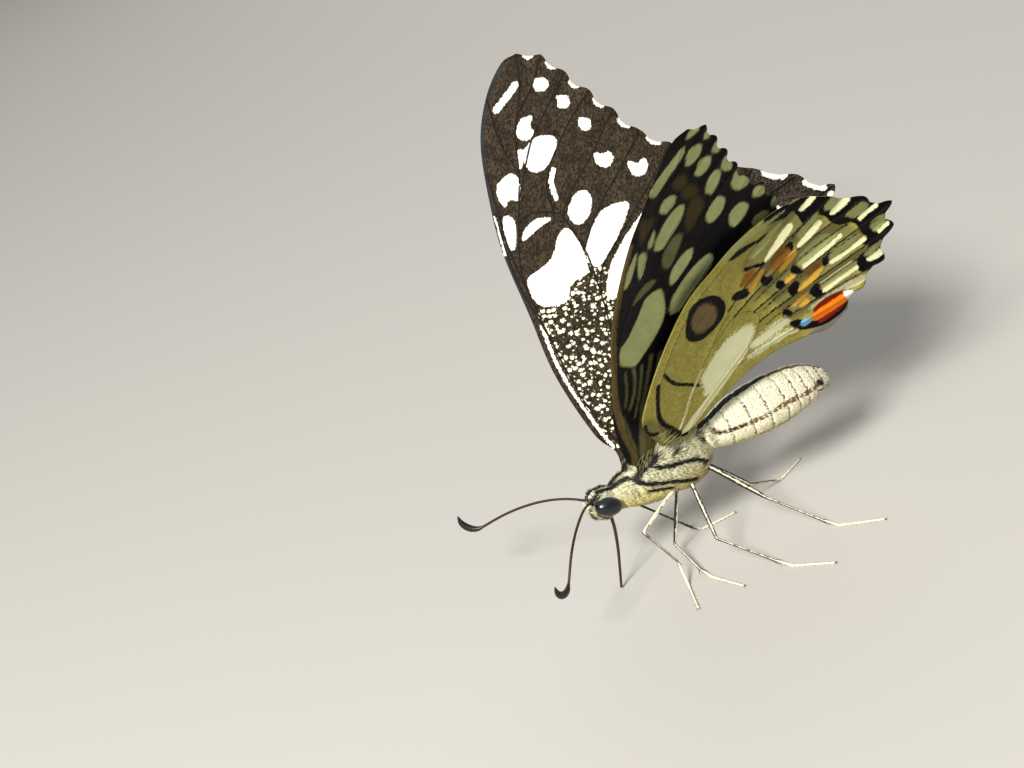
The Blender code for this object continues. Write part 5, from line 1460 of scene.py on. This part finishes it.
def leg_profile(share, part):
    """The radius along one part of a leg: 0 thigh, 1 shin, 2 foot."""
    r = LEG_RADII
    if part == 0 and share < 0.6:
        joint = 0.13 * math.exp(-((share - 0.06) / 0.05) ** 2)
        return r["hip"] + joint + (r["thigh"] - r["hip"]) * math.sin(math.pi * min(share / 0.8, 1) / 2)
    if part == 0:
        return r["thigh"] + (r["knee"] - r["thigh"]) * (share - 0.6) / 0.4
    if part == 1:
        return r["knee"] * 0.92 + (r["shin"] - r["knee"]) * min(1, share / 0.25) \
            + (r["ankle"] - r["shin"]) * max(0, (share - 0.8) / 0.2)
    after = share - max(j for j in FOOT_JOINTS if j <= share + 1e-9)
    flare = 0.04 * min(1.0, after / 0.12)
    return (r["foot"] + (r["toe"] - r["foot"]) * share) * 0.85 + flare


def leg_finish():
    """Close cream scales, matt and finely grained, with a black line whose edge runs round the scales; on the
    right foreleg the front line is turned to its inner side as painted shade.
    """
    material, tree, shader = new_material("cream_scaled_leg_chitin")
    place = add_node(tree, "TexCoord").outputs["Object"]
    cloud = noise(tree, place, 2600.0, 3.0)
    pale = mixed(tree, cloud, "#d9cda0", "#f7f1d8")
    ragged = compute(tree, "SUBTRACT", cloud, 0.5)
    colour = marked(tree, pale, "#1a1310", stored(tree, "stripe"), ragged, 0.9, 0.12)
    tree.links.new(colour, shader.inputs["Base Color"])
    scales = add_node(tree, "TexVoronoi", inputs={"Vector": place, "Scale": 11000.0})
    add_relief(tree, shader, scales.outputs["Distance"], 0.5, 0.00004)
    shader.inputs["Roughness"].default_value = 0.58
    return material


leg_chitin = leg_finish()
for word, joints in LEG_ROUTES.items():
    hip, knee, ankle, heel, toe = (np.array(p, float) for p in joints)
    heel[2] += LEG_RADII["foot"]
    toe[2] += LEG_RADII["toe"]
    parts = ((hip, knee), (knee, ankle), (ankle, heel))
    route, radii = [], []
    for part, (a, b) in enumerate(parts[:2]):
        for share in np.linspace(0, 1, 16, endpoint=False):
            route.append(a + (b - a) * share)
            radii.append(leg_profile(share, part) * (HIND_THIGH_RADIUS / LEG_RADII["thigh"]
                                                     if part == 0 and "hind" in word else 1))
    foot_line = smooth_line((ankle, heel + (0, 0, 0.1), heel + (toe - heel) * 0.12, toe), 0.12)
    run = np.concatenate([[0], np.cumsum(np.linalg.norm(np.diff(foot_line, axis=0), axis=1))])
    for place, share in zip(foot_line, run / run[-1]):
        route.append(place)
        radii.append(leg_profile(share, 2))
    route = np.array(route)
    leg = drawn_tube(f"leg_{word}", route, radii, leg_chitin,
                     [f"femur_{word}", f"tibia_{word}", f"tarsus_{word}"])
    points = mesh_points(leg)
    along = along_line(points, route)
    # The black line runs down the front of thigh and shin; on the foot it breaks up at the joints. On the
    # right foreleg it is turned instead to the inner side, towards the animal's left, as painted shade on the
    # far leg.
    normals = np.empty(3 * len(leg.data.vertices), np.float32)
    leg.data.vertices.foreach_get("normal", normals)
    normals = normals.reshape(-1, 3)
    # For the right foreleg this direction paints shade on the side that faces the camera.
    front = normals @ np.array((-0.3, -0.85, -0.4) if word == "fore_right" else (-0.85, -0.3, -0.4))
    front = np.maximum(front - 0.42, normals @ np.array((0.85, -0.2, 0.45)) - 0.62)
    shin_end = np.linalg.norm(knee - hip) + np.linalg.norm(ankle - knee)
    fade = np.clip((along - shin_end) / 1.5, 0, 1)
    set_values(leg, "stripe", front - 0.6 * fade)
    # Spines beside the foot, the two spurs of the shin and the claws: root, way, length and width.
    spines = []
    ground = np.array((0.0, 0.0, 1.0))
    forward = (toe - heel) / np.linalg.norm(toe - heel)
    beside = np.cross(forward, ground)
    for share in np.arange(0.06, 0.98, SPINE_STEP / np.linalg.norm(toe - heel)):
        for way in (-1, 1):
            spines.append((heel + (toe - heel) * share + beside * way * 0.1,
                           forward * 0.8 + beside * way * 0.7 + ground * 0.05, 0.34, 0.05))
    shin = (ankle - knee) / np.linalg.norm(ankle - knee)
    shin_side = np.cross(shin, ground)
    shin_side /= np.linalg.norm(shin_side)
    for way in (-1, 1):
        spines.append((ankle - shin * 0.2 + shin_side * way * 0.12, shin + shin_side * way * 0.45, 1.0, 0.09))
        spines.append((toe + beside * way * 0.04, forward + beside * way * 0.55, 0.4, 0.08))
    roots, ways, lengths, widths = (np.array(column) for column in zip(*spines))
    ways /= np.linalg.norm(ways, axis=1)[:, None]
    upward = ground - ways * (ways @ ground)[:, None]
    upward /= np.linalg.norm(upward, axis=1)[:, None]
    points, faces = blades(roots, upward, ways, lengths, widths, np.full(len(roots), 0.02), 0.5)
    piece = mesh_piece(f"spines_{word}", points, faces, [leg_chitin])
    set_values(piece, "stripe", np.full(len(points), 0.5))
